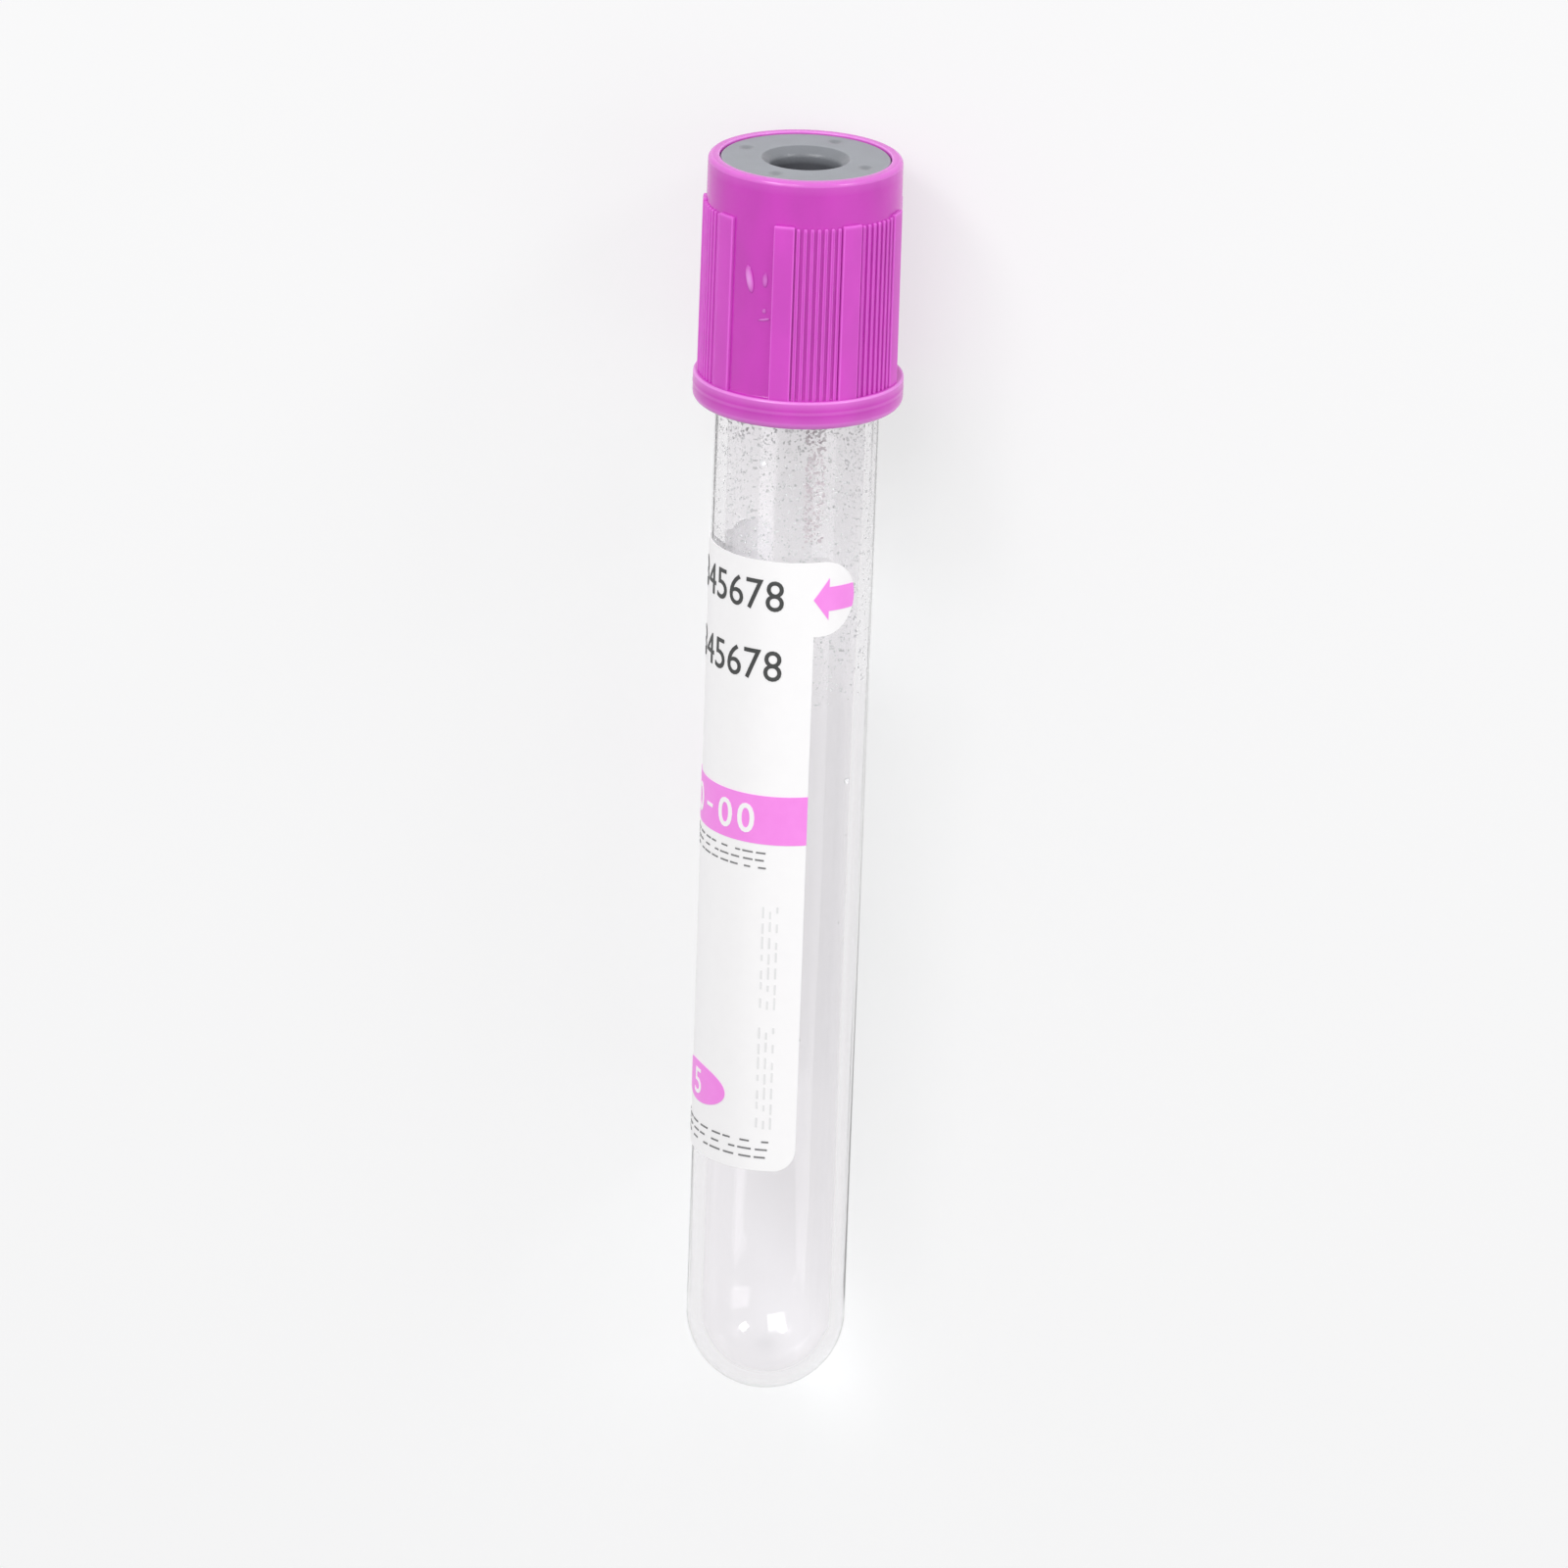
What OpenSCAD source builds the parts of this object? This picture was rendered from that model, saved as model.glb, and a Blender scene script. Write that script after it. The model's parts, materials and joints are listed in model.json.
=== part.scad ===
// Blood collection tube. A clear round-bottomed tube is closed by a rubber stopper that a ribbed
// pull-off cap holds, carries a wrapped label with coloured print, and has drops of dried additive
// on its wall. Every piece is built upright, with the round bottom at z = 0 and the label's reading
// side towards -Y, and the whole is then laid down on its side, where a round-bottomed tube rests.

/* [Tube] */
// Outside diameter of the tube
tube_d = 13; // [12:0.1:16]
// Length of the tube from its round bottom to its rim
tube_len = 100; // [75:1:125]
// Wall of the tube at its mouth
tube_wall = 1.05; // [0.9:0.01:1.5]
// Thickness of the round bottom
bottom_t = 1.25; // [0.9:0.05:2]
// Draft of the bore below the stopper, in degrees
bore_draft = 0.12; // [0:0.02:0.3]
// Straight bore below the plug's foot
land_spare = 1.5; // [0.5:0.1:3]

/* [Stopper] */
// How far the plug reaches into the tube
plug_len = 8; // [6:0.5:11]
// Radial clearance between the plug's seals and the bore
plug_gap = 0.05; // [0.02:0.01:0.1]
// How far a seal stands out from the plug's shank
seal_proud = 0.2; // [0.1:0.05:0.4]
// Radius of a seal's rounded edge
seal_round = 0.9; // [0.6:0.05:1.1]
// Number of seals on the plug
seal_count = 3; // [1:1:3]
// Height of the lowest seal above the nose
seal_start = 0.9; // [0.8:0.1:1.1]
// Spacing of the seals
seal_pitch = 2.3; // [1.9:0.05:2.4]
// Depth of the tapered nose that starts the plug into the tube
nose_h = 1.4; // [0.8:0.1:2]
// Thickness of rubber that the needle pierces
septum_t = 3.2; // [2:0.1:4]
// Diameter of the needle well
well_d = 5.6; // [4:0.1:6.4]
// Depth of the needle well
well_depth = 3.2; // [2:0.1:4]
// Rounding of the needle well's rim
well_round = 0.75; // [0.3:0.05:1]
// Diameter of the hollow under the septum
hollow_d = 7; // [5:0.1:7.6]
// How much narrower the hollow is at the septum, on the radius
hollow_taper = 0.5; // [0:0.05:0.8]
// Diameter of the shallow dimples round the well
dimple_d = 1; // [0.6:0.1:1.4]
// Depth of the dimples
dimple_depth = 0.15; // [0.05:0.05:0.4]
// How far a dimple's centre lies from the axis
dimple_reach = 5.2; // [4.8:0.1:5.6]
// Number of dimples
dimple_count = 4; // [3:1:8]
// Turn of the dimples round the axis, in degrees
dimple_turn = -26; // [-90:1:90]

/* [Cap] */
// How far the cap reaches down over the tube from the rim
skirt_reach = 15; // [12:0.5:20]
// How far the cap stands above the tube's rim
cap_rise = 5; // [4.6:0.1:7]
// Radial clearance between the tube and the cap's skirt
skirt_gap = 0.45; // [0.3:0.05:0.7]
// Wall of the skirt just above the flange
skirt_wall = 0.8; // [0.7:0.05:1.2]
// Draft of the cap's outside, in degrees
cap_draft = 0.3; // [0:0.05:0.6]
// Width of the cap's top rim round the stopper
rim_w = 0.9; // [0.8:0.05:1.2]
// Rounding of the top rim
rim_round = 0.4; // [0.2:0.05:0.5]
// How far the flange stands out from the skirt
flange_proud = 0.6; // [0.45:0.05:1]
// Height of the flange
flange_h = 2.35; // [1.8:0.05:3]
// Rounding of the flange's lower edge
flange_round = 0.65; // [0.3:0.05:0.8]
// Rounding of the flange's upper edge
flange_edge = 0.2; // [0.1:0.05:0.3]
// Depth of the flat on the flange's underside, which keeps the lying tube from rolling
flat_depth = 0.1; // [0.05:0.01:0.15]
// Depth of the funnel that leads the tube into the skirt
lead_in = 0.45; // [0.2:0.05:0.6]

/* [Stopper seat in the cap] */
// How far the stopper's face lies below the cap's rim
face_drop = 0.15; // [0.05:0.05:0.8]
// Clearance between the stopper and the cap that holds it
seat_gap = 0.05; // [0.03:0.01:0.1]
// Clearance between the stopper's head and the tube's rim
head_gap = 0.05; // [0.02:0.01:0.2]
// Height of the cap's ledge above the underside of the stopper's head
ledge_lift = 0.3; // [0.2:0.05:0.5]
// How far the stopper's retaining bead stands out
bead_proud = 0.4; // [0.3:0.05:0.5]
// Height of the retaining bead
bead_h = 2; // [1.6:0.1:2.2]
// Thickness of the ledge under the bead
ledge_t = 1; // [0.8:0.1:1.2]
// Bevel of the groove's upper edge, over which the bead snaps in
groove_bevel = 0.15; // [0.05:0.05:0.3]

/* [Grip] */
// Number of grip panels round the cap
panel_count = 3; // [2:1:3]
// Height of a grip panel above the flange
panel_h = 14.1; // [10:0.1:14.4]
// How far a panel's pads stand out from the cap at the flange
pad_proud = 0.28; // [0.2:0.02:0.4]
// Rounding of a panel's top edge
panel_round = 0.15; // [0.1:0.05:0.2]
// Width of a smooth pad, in degrees round the cap
pad_deg = 12; // [8:0.5:14]
// Groups of ribs on a panel, with a smooth pad on each side of a group
group_count = 2; // [1:1:2]
// Ribs in one group
rib_count = 7; // [4:1:8]
// Width of a rib
rib_w = 0.27; // [0.2:0.01:0.3]
// Pitch of the ribs, in degrees round the cap
rib_pitch = 4.05; // [3.6:0.05:4.1]
// Distance from a pad's edge to the first rib, in pitches
rib_margin = 0.5; // [0.4:0.05:0.6]
// How far a rib's crest lies below the pads
rib_drop = 0.08; // [0.06:0.02:0.12]
// Turn of the gap between two panels from the label's reading side, in degrees
gap_turn = -30.4; // [-60:0.2:60]
// Guide ribs inside the skirt
guide_count = 6; // [3:1:8]
// Radial clearance between the guide ribs and the tube
guide_gap = 0.1; // [0.05:0.01:0.2]
// Radius of a guide rib
guide_r = 0.45; // [0.35:0.05:0.5]
// Height of the guide ribs' foot above the cap's mouth
guide_lift = 2; // [1.5:0.1:4]

/* [Label] */
// Width of the label before it is wrapped
label_w = 20.7; // [16:0.1:28]
// Height of the label
label_h = 52; // [40:0.5:54]
// Thickness of the label
label_t = 0.1; // [0.06:0.01:0.15]
// Bare tube between the cap and the label
label_drop = 11.5; // [6:0.5:14]
// Turn of the label's right-hand edge from the reading side, in degrees
label_turn = 17; // [-30:1:40]
// Rounding of the label's corners
label_round = 1.8; // [0.8:0.1:2.5]
// How far the pull tab stands out from the label's edge
tab_w = 3.7; // [3.2:0.1:4.5]
// Height of the pull tab
tab_h = 6.2; // [5:0.1:7]
// Film of glue under the label and of ink clearance over it
film_gap = 0.01; // [0.005:0.005:0.02]

/* [Print] */
// Thickness of the printed colour
ink_t = 0.03; // [0.02:0.01:0.05]
// Distance from the label's top down to the colour band
band_drop = 19.7; // [17:0.1:22]
// Height of the colour band
band_h = 4.1; // [3:0.1:5]
// Width of a graduation mark
mark_w = 2.7; // [1.5:0.1:3.5]
// Height of a graduation mark
mark_h = 1.3; // [0.8:0.1:1.6]
// First graduation, in millilitres
mark_low = 2; // [1:1:3]
// Last graduation, in millilitres
mark_high = 5; // [4:1:6]
// Width of the colour spot near the label's foot
spot_w = 7.1; // [5:0.1:8]
// Height of the colour spot
spot_h = 3.4; // [2.5:0.1:4]
// Distance from the label's foot up to the spot's centre
spot_rise = 6.1; // [5:0.1:8]
// Distance from the label's right-hand edge to the spot's centre
spot_inset = 9.7; // [7:0.1:12]
// Height of the arrow's shaft on the tab
arrow_shaft = 2; // [1.2:0.1:2.4]
// Height of the arrow's head
arrow_head = 3.5; // [2.8:0.1:4.5]
// Length of the arrow's head
arrow_point = 1.3; // [0.8:0.1:1.6]

/* [Additive] */
// Number of dried drops on the wall
drop_count = 70; // [30:5:110]
// Radius of the sphere that a drop is part of
drop_r = 0.6; // [0.4:0.05:0.8]
// How far the largest drop stands out from the wall
drop_proud = 0.22; // [0.12:0.02:0.3]
// Turn from one drop to the next: the golden angle, so that no two line up
drop_turn = 137.5; // [137:0.1:138]

/* [Resting pose] */
// Turn of the lying tube about its own axis, from its reading side straight up
rest_turn = 11.25; // [-30:0.25:30]

/* [Hidden] */
$fn = 96;

// Tube
tube_r = tube_d / 2;
rim_r = tube_wall / 2;
bore_r = tube_r - tube_wall;
land_z = tube_len - plug_len - land_spare;
end_r = bore_r - (land_z - tube_r) * tan(bore_draft);
end_z = bottom_t + end_r;
mid_r = (bore_r + end_r) / 2;
function bore_at(z) = bore_r - max(0, land_z - z) * tan(bore_draft);
function fill_z(ml) = end_z + (1000 * ml - 2 / 3 * PI * pow(end_r, 3)) / (PI * pow(mid_r, 2));

// Cap
cap_z = tube_len - skirt_reach;
cap_top = tube_len + cap_rise;
flange_top = cap_z + flange_h;
skirt_bore = tube_r + skirt_gap;
skirt_r = skirt_bore + skirt_wall;
flange_r = skirt_r + flange_proud;
cap_r = skirt_r - (cap_top - flange_top) * tan(cap_draft);
function cap_r_at(z) = skirt_r - (z - flange_top) * tan(cap_draft);
flat_foot = flange_round - sqrt(pow(flange_round, 2) - pow(flange_round - flat_depth, 2));
mouth_r = cap_r - rim_w;

// Stopper, from the face downwards
face_z = cap_top - face_drop;
head_z = tube_len + head_gap;
head_r = mouth_r - seat_gap;
bead_r = head_r + bead_proud;
ledge_z = head_z + ledge_lift;
bead_z = ledge_z + ledge_t;
groove_r = bead_r + seat_gap;
plug_z = tube_len - plug_len;
plug_r = bore_r - plug_gap;
shank_r = plug_r - seal_proud;
well_r = well_d / 2;
well_z = face_z - well_depth;
hollow_r = hollow_d / 2;
hollow_top = well_z - septum_t;
seal_z = plug_z + nose_h + seal_start;

// Grip panels
panel_top = flange_top + panel_h;
pad_r = skirt_r + pad_proud;
rib_group_deg = (rib_count - 1 + 2 * rib_margin) * rib_pitch;
pad_step = pad_deg + rib_group_deg;
panel_deg = group_count * pad_step + pad_deg;
rib_crest = pad_r - rib_drop - panel_h * tan(cap_draft);

// Label and print
label_r = tube_r + film_gap;
label_out = label_r + label_t;
ink_r = label_out + film_gap;
label_deg = label_w / label_out * 180 / PI;
label_top = cap_z - label_drop;
label_z = label_top - label_h;
tab_deg = tab_w / label_out * 180 / PI;
tab_mid = tab_deg / 2;
tab_half = label_out * sin(tab_mid);
tab_r = tab_h / 2;
// A corner's cutter is this much larger than its rounding, so that it crosses the edge cleanly
crossing = 1.01;

// Resting pose: the foot of the flange's flat and the round bottom touch the table
lean_s = cap_z + flat_foot - tube_r;
lean_r = flange_r - flat_depth;
rest_tilt = atan(lean_r / lean_s) - asin(tube_r / norm([lean_s, lean_r]));
tip_s = cap_top - rim_round - tube_r;
tip_r = cap_r - rim_round;
rest_x = (tip_s * cos(rest_tilt) + tip_r * sin(rest_tilt) + rim_round - tube_r) / 2;

// Lays the upright tube on its side, cap towards -X and reading side rest_turn away from straight up
module lying() {
    translate([rest_x, 0, tube_r]) rotate([0, rest_tilt, 0]) translate([tube_r, 0, 0])
        rotate([-90, 0, 0]) rotate([0, -90, 0]) rotate([0, 0, rest_turn]) children();
}

// Turns a piece drawn towards -Y by deg round the tube, to the reader's right
module turned(deg) {
    rotate([0, 0, deg]) children();
}

// Half section of the bore, from its round end to above the mouth
module bore_profile(shrink = 0) {
    polygon([[0, end_z], [end_r - shrink, end_z], [bore_r - shrink, land_z],
        [bore_r - shrink, tube_len + 1], [0, tube_len + 1]]);
    intersection() {
        translate([0, end_z]) circle(end_r - shrink);
        translate([0, end_z - end_r]) square([end_r, end_r]);
    }
}

module tube() color([0.86, 0.88, 0.88, 0.45]) lying() rotate_extrude() {
    difference() {
        union() {
            translate([0, tube_r]) square([tube_r, tube_len - rim_r - tube_r]);
            intersection() {
                translate([0, tube_r]) circle(tube_r);
                square([tube_r, tube_r]);
            }
        }
        bore_profile();
    }
    translate([tube_r - rim_r, tube_len - rim_r]) circle(rim_r);
}

// One dried drop: a flat-backed lens on XY that rises along Z
module dried_drop(proud) {
    rotate_extrude($fn = 24) intersection() {
        translate([0, proud - drop_r]) circle(drop_r);
        square([drop_r, proud]);
    }
}

// Drops that the sprayed additive leaves on the wall below the stopper
module additive() color([0.93, 0.94, 0.95]) lying() for (i = [0 : drop_count - 1]) {
    z = end_z + (i + 0.5) * (plug_z - drop_r - end_z) / drop_count;
    proud = drop_proud * (0.6 + 0.4 * abs(sin(97 * i)));
    base_r = sqrt(2 * drop_r * proud - proud * proud);
    reach = sqrt(pow(bore_at(z), 2) - base_r * base_r) - film_gap;
    turned(drop_turn * i) translate([0, -reach, z]) rotate([-90, 0, 0]) dried_drop(proud);
}

// Shell round the tube from one radius to another, deg wide, its left edge turned by from
module wrap(inner, outer, from, deg, z, h) {
    turned(from - 90) rotate_extrude(angle = deg) translate([inner, z]) square([outer - inner, h]);
}

// Stands a flat outline, x to the reader's right and y up, through the wall at a turn of deg
module through_wall(deg) {
    turned(deg) rotate([90, 0, 0]) linear_extrude(ink_r + 1) children();
}

// What a corner at the origin loses to its rounding, quarter turns on from the top right one
module corner_waste(round_r, quarter) {
    rotate(90 * quarter) translate([-round_r, -round_r]) difference() {
        square(round_r + 1);
        circle(round_r * crossing);
    }
}

// One sheet with a half-round pull tab at its top right: its blank, less all that lies round it
module label() color("white") lying() difference() {
    left = label_turn - label_deg;
    corners = [[left, label_top, 1], [left, label_z, 2], [label_turn, label_z, 3]];
    wrap(label_r, label_out, left, label_deg + tab_deg, label_z, label_h);
    wrap(label_r - 1, label_out + 1, label_turn, tab_deg + 5, label_z - 1, label_h - tab_h + 1);
    for (corner = corners)
        through_wall(corner[0]) translate([0, corner[1]]) corner_waste(label_round, corner[2]);
    through_wall(label_turn + tab_mid) {
        translate([tab_half, label_top]) corner_waste(tab_r, 0);
        translate([tab_half, label_top - tab_h]) corner_waste(tab_r, 3);
    }
}

// Arrow on the tab, pointing to the label
module arrow_outline() {
    middle = label_top - tab_r;
    intersection() {
        union() {
            translate([arrow_point - tab_half, middle - arrow_shaft / 2]) square([2 * tab_half, arrow_shaft]);
            polygon([[-tab_half, middle], [arrow_point - tab_half, middle + arrow_head / 2],
                [arrow_point - tab_half, middle - arrow_head / 2]]);
        }
        union() {
            translate([-tab_half, middle - tab_r]) square([2 * tab_half - tab_r, tab_h]);
            translate([tab_half - tab_r, middle]) circle(tab_r);
        }
    }
}

module label_print() color([0.89, 0.47, 0.81]) lying() {
    left = label_turn - label_deg;
    wrap(ink_r, ink_r + ink_t, left, label_deg, label_top - band_drop - band_h, band_h);
    for (ml = [mark_low : mark_high]) {
        z = fill_z(ml) - mark_h / 2;
        if (z > label_z + label_round && z + mark_h < label_top - label_round)
            wrap(ink_r, ink_r + ink_t, left, mark_w / ink_r * 180 / PI, z, mark_h);
    }
    intersection() {
        rotate_extrude() translate([ink_r, label_z]) square([ink_t, label_h]);
        union() {
            through_wall(label_turn - spot_inset / ink_r * 180 / PI) translate([0, label_z + spot_rise])
                spot_outline();
            through_wall(label_turn + tab_mid) arrow_outline();
        }
    }
}

// Colour spot: a long field with round ends
module spot_outline() {
    half = ink_r * sin(spot_w / 2 / ink_r * 180 / PI);
    square([2 * half - spot_h, spot_h], center = true);
    for (side = [-1, 1]) translate([side * (half - spot_h / 2), 0]) circle(spot_h / 2);
}

// Half section of the stopper: head with its retaining bead, plug with its seals
module stopper_profile() {
    difference() {
        union() {
            translate([0, head_z]) square([head_r, face_z - head_z]);
            translate([0, bead_z]) square([bead_r, bead_h]);
            polygon([[0, plug_z], [shank_r - nose_h / 2, plug_z], [shank_r, plug_z + nose_h],
                [shank_r, head_z + 1], [0, head_z + 1]]);
            for (i = [0 : seal_count - 1])
                translate([plug_r - seal_round, seal_z + i * seal_pitch]) circle(seal_round);
        }
        translate([0, well_z]) square([well_r, well_depth + 1]);
        polygon([[0, plug_z - 1], [hollow_r, plug_z - 1], [hollow_r, plug_z],
            [hollow_r - hollow_taper, hollow_top], [0, hollow_top]]);
        // rim of the well, rounded over
        difference() {
            translate([0, face_z - well_round]) square([well_r + well_round, well_round + 1]);
            translate([well_r + well_round, face_z - well_round]) circle(well_round);
        }
    }
}

module stopper() color([0.62, 0.65, 0.66]) lying() difference() {
    rotate_extrude() stopper_profile();
    for (i = [1 : dimple_count])
        turned(dimple_turn + i * 360 / dimple_count) translate([0, -dimple_reach, face_z - dimple_depth])
            cylinder(d = dimple_d, h = 1);
}

// Half section of the cap's outside: flange, drafted wall and rounded rim
module cap_outside() {
    polygon([[0, cap_z], [flange_r - flange_round, cap_z], [flange_r, cap_z + flange_round],
        [flange_r, flange_top - flange_edge], [flange_r - flange_edge, flange_top], [skirt_r, flange_top],
        [cap_r, cap_top - rim_round], [cap_r - rim_round, cap_top], [0, cap_top]]);
    translate([flange_r - flange_round, cap_z + flange_round]) circle(flange_round);
    translate([flange_r - flange_edge, flange_top - flange_edge]) circle(flange_edge);
    translate([cap_r - rim_round, cap_top - rim_round]) circle(rim_round);
}

// Half section of the cap's inside: funnel, skirt, ledge, groove for the bead, and mouth
module cap_inside() {
    polygon([[0, cap_z - 1], [skirt_bore + lead_in, cap_z - 1], [skirt_bore + lead_in, cap_z],
        [skirt_bore, cap_z + 2 * lead_in], [skirt_bore, ledge_z], [mouth_r, ledge_z], [mouth_r, bead_z],
        [groove_r, bead_z], [groove_r, bead_z + bead_h + seat_gap],
        [mouth_r, bead_z + bead_h + seat_gap + groove_bevel], [mouth_r, cap_top + 1], [0, cap_top + 1]]);
}

// Wedge of a disc from one angle to another, up to 90 degrees wide
module wedge(r, from, to) {
    intersection() {
        circle(r);
        polygon([[0, 0], 2 * r * [cos(from), sin(from)], 2 * r * [cos(to), sin(to)]]);
    }
}

// Plan of one grip panel, its left edge on +X: smooth pads with a group of ribs between each two
module panel_plan() {
    for (pad = [0 : group_count]) wedge(pad_r + 1, pad * pad_step, pad * pad_step + pad_deg);
    for (group = [0 : group_count - 1], i = [0 : rib_count - 1])
        rotate(pad_deg + group * pad_step + (rib_margin + i) * rib_pitch) {
            translate([cap_r - 1, -rib_w / 2]) square([rib_crest - cap_r + 1 - rib_w / 2, rib_w]);
            translate([rib_crest - rib_w / 2, 0]) circle(rib_w / 2);
        }
}

// Ring that trims the panels to their height, draft and rounded top edge
module panel_ring() {
    top_r = cap_r_at(panel_top) + pad_proud;
    polygon([[cap_r - 0.5, cap_z + flange_h / 2], [pad_r, cap_z + flange_h / 2], [pad_r, flange_top],
        [top_r, panel_top - panel_round], [top_r - panel_round, panel_top], [cap_r - 0.5, panel_top]]);
    translate([top_r - panel_round, panel_top - panel_round]) circle(panel_round);
}

module cap() color([0.78, 0.27, 0.74]) lying() {
    difference() {
        union() {
            rotate_extrude() cap_outside();
            intersection() {
                rotate_extrude() panel_ring();
                for (i = [1 : panel_count])
                    turned(gap_turn - 90 + (i - 0.5) * 360 / panel_count - panel_deg / 2)
                        linear_extrude(panel_top + 1) panel_plan();
            }
        }
        rotate_extrude() cap_inside();
        // flat on which the lying tube rests
        turned(-rest_turn) translate([-flange_r, flange_r - flat_depth, cap_z - 1])
            cube([2 * flange_r, 1, flange_h + 2]);
    }
    for (i = [1 : guide_count])
        turned(i * 360 / guide_count) translate([0, -(tube_r + guide_gap + guide_r), cap_z + guide_lift])
            cylinder(r = guide_r, h = ledge_z - cap_z - guide_lift, $fn = 32);
}

tube();
additive();
label();
label_print();
stopper();
cap();
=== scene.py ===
# %% [markdown]
# # A blood collection tube, from its solids to its looks
# The object is small and plain: a clear moulded tube, a rubber stopper in a ribbed pull-off cap, and
# a wrapped label with coloured print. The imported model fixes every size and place. This lesson makes
# the surfaces: a round foot and lips that catch light, ribs with soft ends, ink on paper, and drops
# of dried additive behind a clear wall. Each step says what the piece is on the real tube, how it
# could be made, and why this way was chosen.

import json
import math

import bmesh
import bpy
import numpy as np
from mathutils import Matrix, Vector


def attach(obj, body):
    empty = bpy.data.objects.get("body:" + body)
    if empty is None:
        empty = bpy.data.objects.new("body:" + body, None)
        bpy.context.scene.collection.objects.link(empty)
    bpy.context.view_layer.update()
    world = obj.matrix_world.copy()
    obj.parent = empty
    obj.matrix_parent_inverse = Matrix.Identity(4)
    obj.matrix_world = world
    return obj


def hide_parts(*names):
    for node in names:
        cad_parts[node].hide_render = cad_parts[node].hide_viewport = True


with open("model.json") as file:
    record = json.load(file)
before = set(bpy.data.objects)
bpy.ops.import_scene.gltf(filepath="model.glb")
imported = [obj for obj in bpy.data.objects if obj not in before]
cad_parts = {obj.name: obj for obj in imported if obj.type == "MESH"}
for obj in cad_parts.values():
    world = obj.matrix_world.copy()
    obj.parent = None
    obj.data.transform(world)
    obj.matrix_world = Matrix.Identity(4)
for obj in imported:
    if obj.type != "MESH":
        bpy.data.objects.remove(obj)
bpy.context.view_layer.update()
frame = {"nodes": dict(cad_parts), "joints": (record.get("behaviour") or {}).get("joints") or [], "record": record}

# %% [markdown]
# ## Standing the tube up to work on it
# The tube lies on a table, leaning a little because its cap is wider than its foot. Drawing it in
# that pose would put a tilt into every number. So each mesh here is drawn upright in millimetres,
# with the round bottom on z = 0 and the reader at -Y, and one matrix then lays it down. The matrix
# comes from two facts in the frame: the centre of the round bottom, and the direction in which the
# closure slides off, which is straight up the tube.

# %% The matrix that lays an upright piece down
MM = 0.001
REST_TURN = math.radians(11.25)     # how far the lying tube is turned about its own axis

mounts = {mount["name"]: mount for mount in frame["record"]["mounts"]}
foot_centre = Vector(mounts["rack_seat"]["pos_m"])
axis_up = Vector(frame["joints"][0]["axis"]).normalized()
tube_r = foot_centre.z / MM

reader_right = Vector((0, 1, 0))
straight_up = reader_right.cross(axis_up)
basis = Matrix((reader_right, -straight_up, axis_up)).transposed().to_4x4()
lay_down = (Matrix.Translation(foot_centre - tube_r * MM * axis_up) @ basis
            @ Matrix.Rotation(REST_TURN, 4, "Z") @ Matrix.Scale(MM, 4))
stand_up = lay_down.inverted()
print("tube radius", round(tube_r, 3), "mm, tilt", round(math.degrees(math.asin(axis_up.z)), 3))

# %% [markdown]
# ## Reading sizes from the solids
# Sizes that were settled in the solids are measured here and not typed again. A node's corners are
# stood up with the inverse matrix, and then heights, radii and turns round the tube can be read off.
# A turn is 0 on the reading side and grows to the reader's right.

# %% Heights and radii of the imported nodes
def upright_points(node):
    """The node's corners in upright millimetres, one row each."""
    mesh = frame["nodes"][node].data
    flat = np.empty(len(mesh.vertices) * 3)
    mesh.vertices.foreach_get("co", flat)
    return flat.reshape(-1, 3) @ np.array(stand_up.to_3x3()).T + np.array(stand_up.translation)


points = {node: upright_points(node) for node in frame["nodes"]}
radii = {node: np.hypot(p[:, 0], p[:, 1]) for node, p in points.items()}


def reach(node, low, high):
    """The largest radius of a node between two heights."""
    z = points[node][:, 2]
    return radii[node][(z >= low) & (z <= high)].max()


tube_top = points["tube"][:, 2].max()
cap_z, cap_top = points["cap"][:, 2].min(), points["cap"][:, 2].max()
plug_z, face_z = points["stopper"][:, 2].min(), points["stopper"][:, 2].max()
label_z, label_top = points["label"][:, 2].min(), points["label"][:, 2].max()
label_r, label_out = radii["label"].min(), radii["label"].max()
print("cap", round(cap_z, 2), "to", round(cap_top, 2), "mm, face of the stopper", round(face_z, 2))
print("label", round(label_z, 2), "to", round(label_top, 2), "mm, radius", round(label_out, 3))

# %% [markdown]
# ## One way to finish every piece
# A finished piece has its place in its mesh and its object at the origin. That keeps patterns made
# of object coordinates still, and lets the piece ride on the body that it belongs to. The helpers
# also print how many edges are open, because a moulded piece is closed.

# %% Helpers that make, check and place a mesh
def object_with(name, data):
    """A new object of the scene that holds this data."""
    obj = bpy.data.objects.new(name, data)
    bpy.context.scene.collection.objects.link(obj)
    return obj


def object_from(name, vertices, faces):
    """A new object holding a mesh with these corners and faces."""
    mesh = bpy.data.meshes.new(name)
    mesh.from_pydata(vertices, [], faces)
    mesh.validate()
    return object_with(name, mesh)


def evaluated_mesh(obj):
    """A plain mesh of what an object's modifiers, or its font, make of it."""
    bpy.context.view_layer.update()
    depsgraph = bpy.context.evaluated_depsgraph_get()
    return bpy.data.meshes.new_from_object(obj.evaluated_get(depsgraph))


def write_levels(obj, name, levels):
    """Keeps one number for each corner in an attribute of this name."""
    obj.data.attributes.new(name, "FLOAT", "POINT").data.foreach_set("value", levels)
    return obj


def open_edges(mesh):
    """How many edges don't have exactly two faces."""
    bm = bmesh.new()
    bm.from_mesh(mesh)
    count = sum(1 for edge in bm.edges if len(edge.link_faces) != 2)
    bm.free()
    return count


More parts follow.
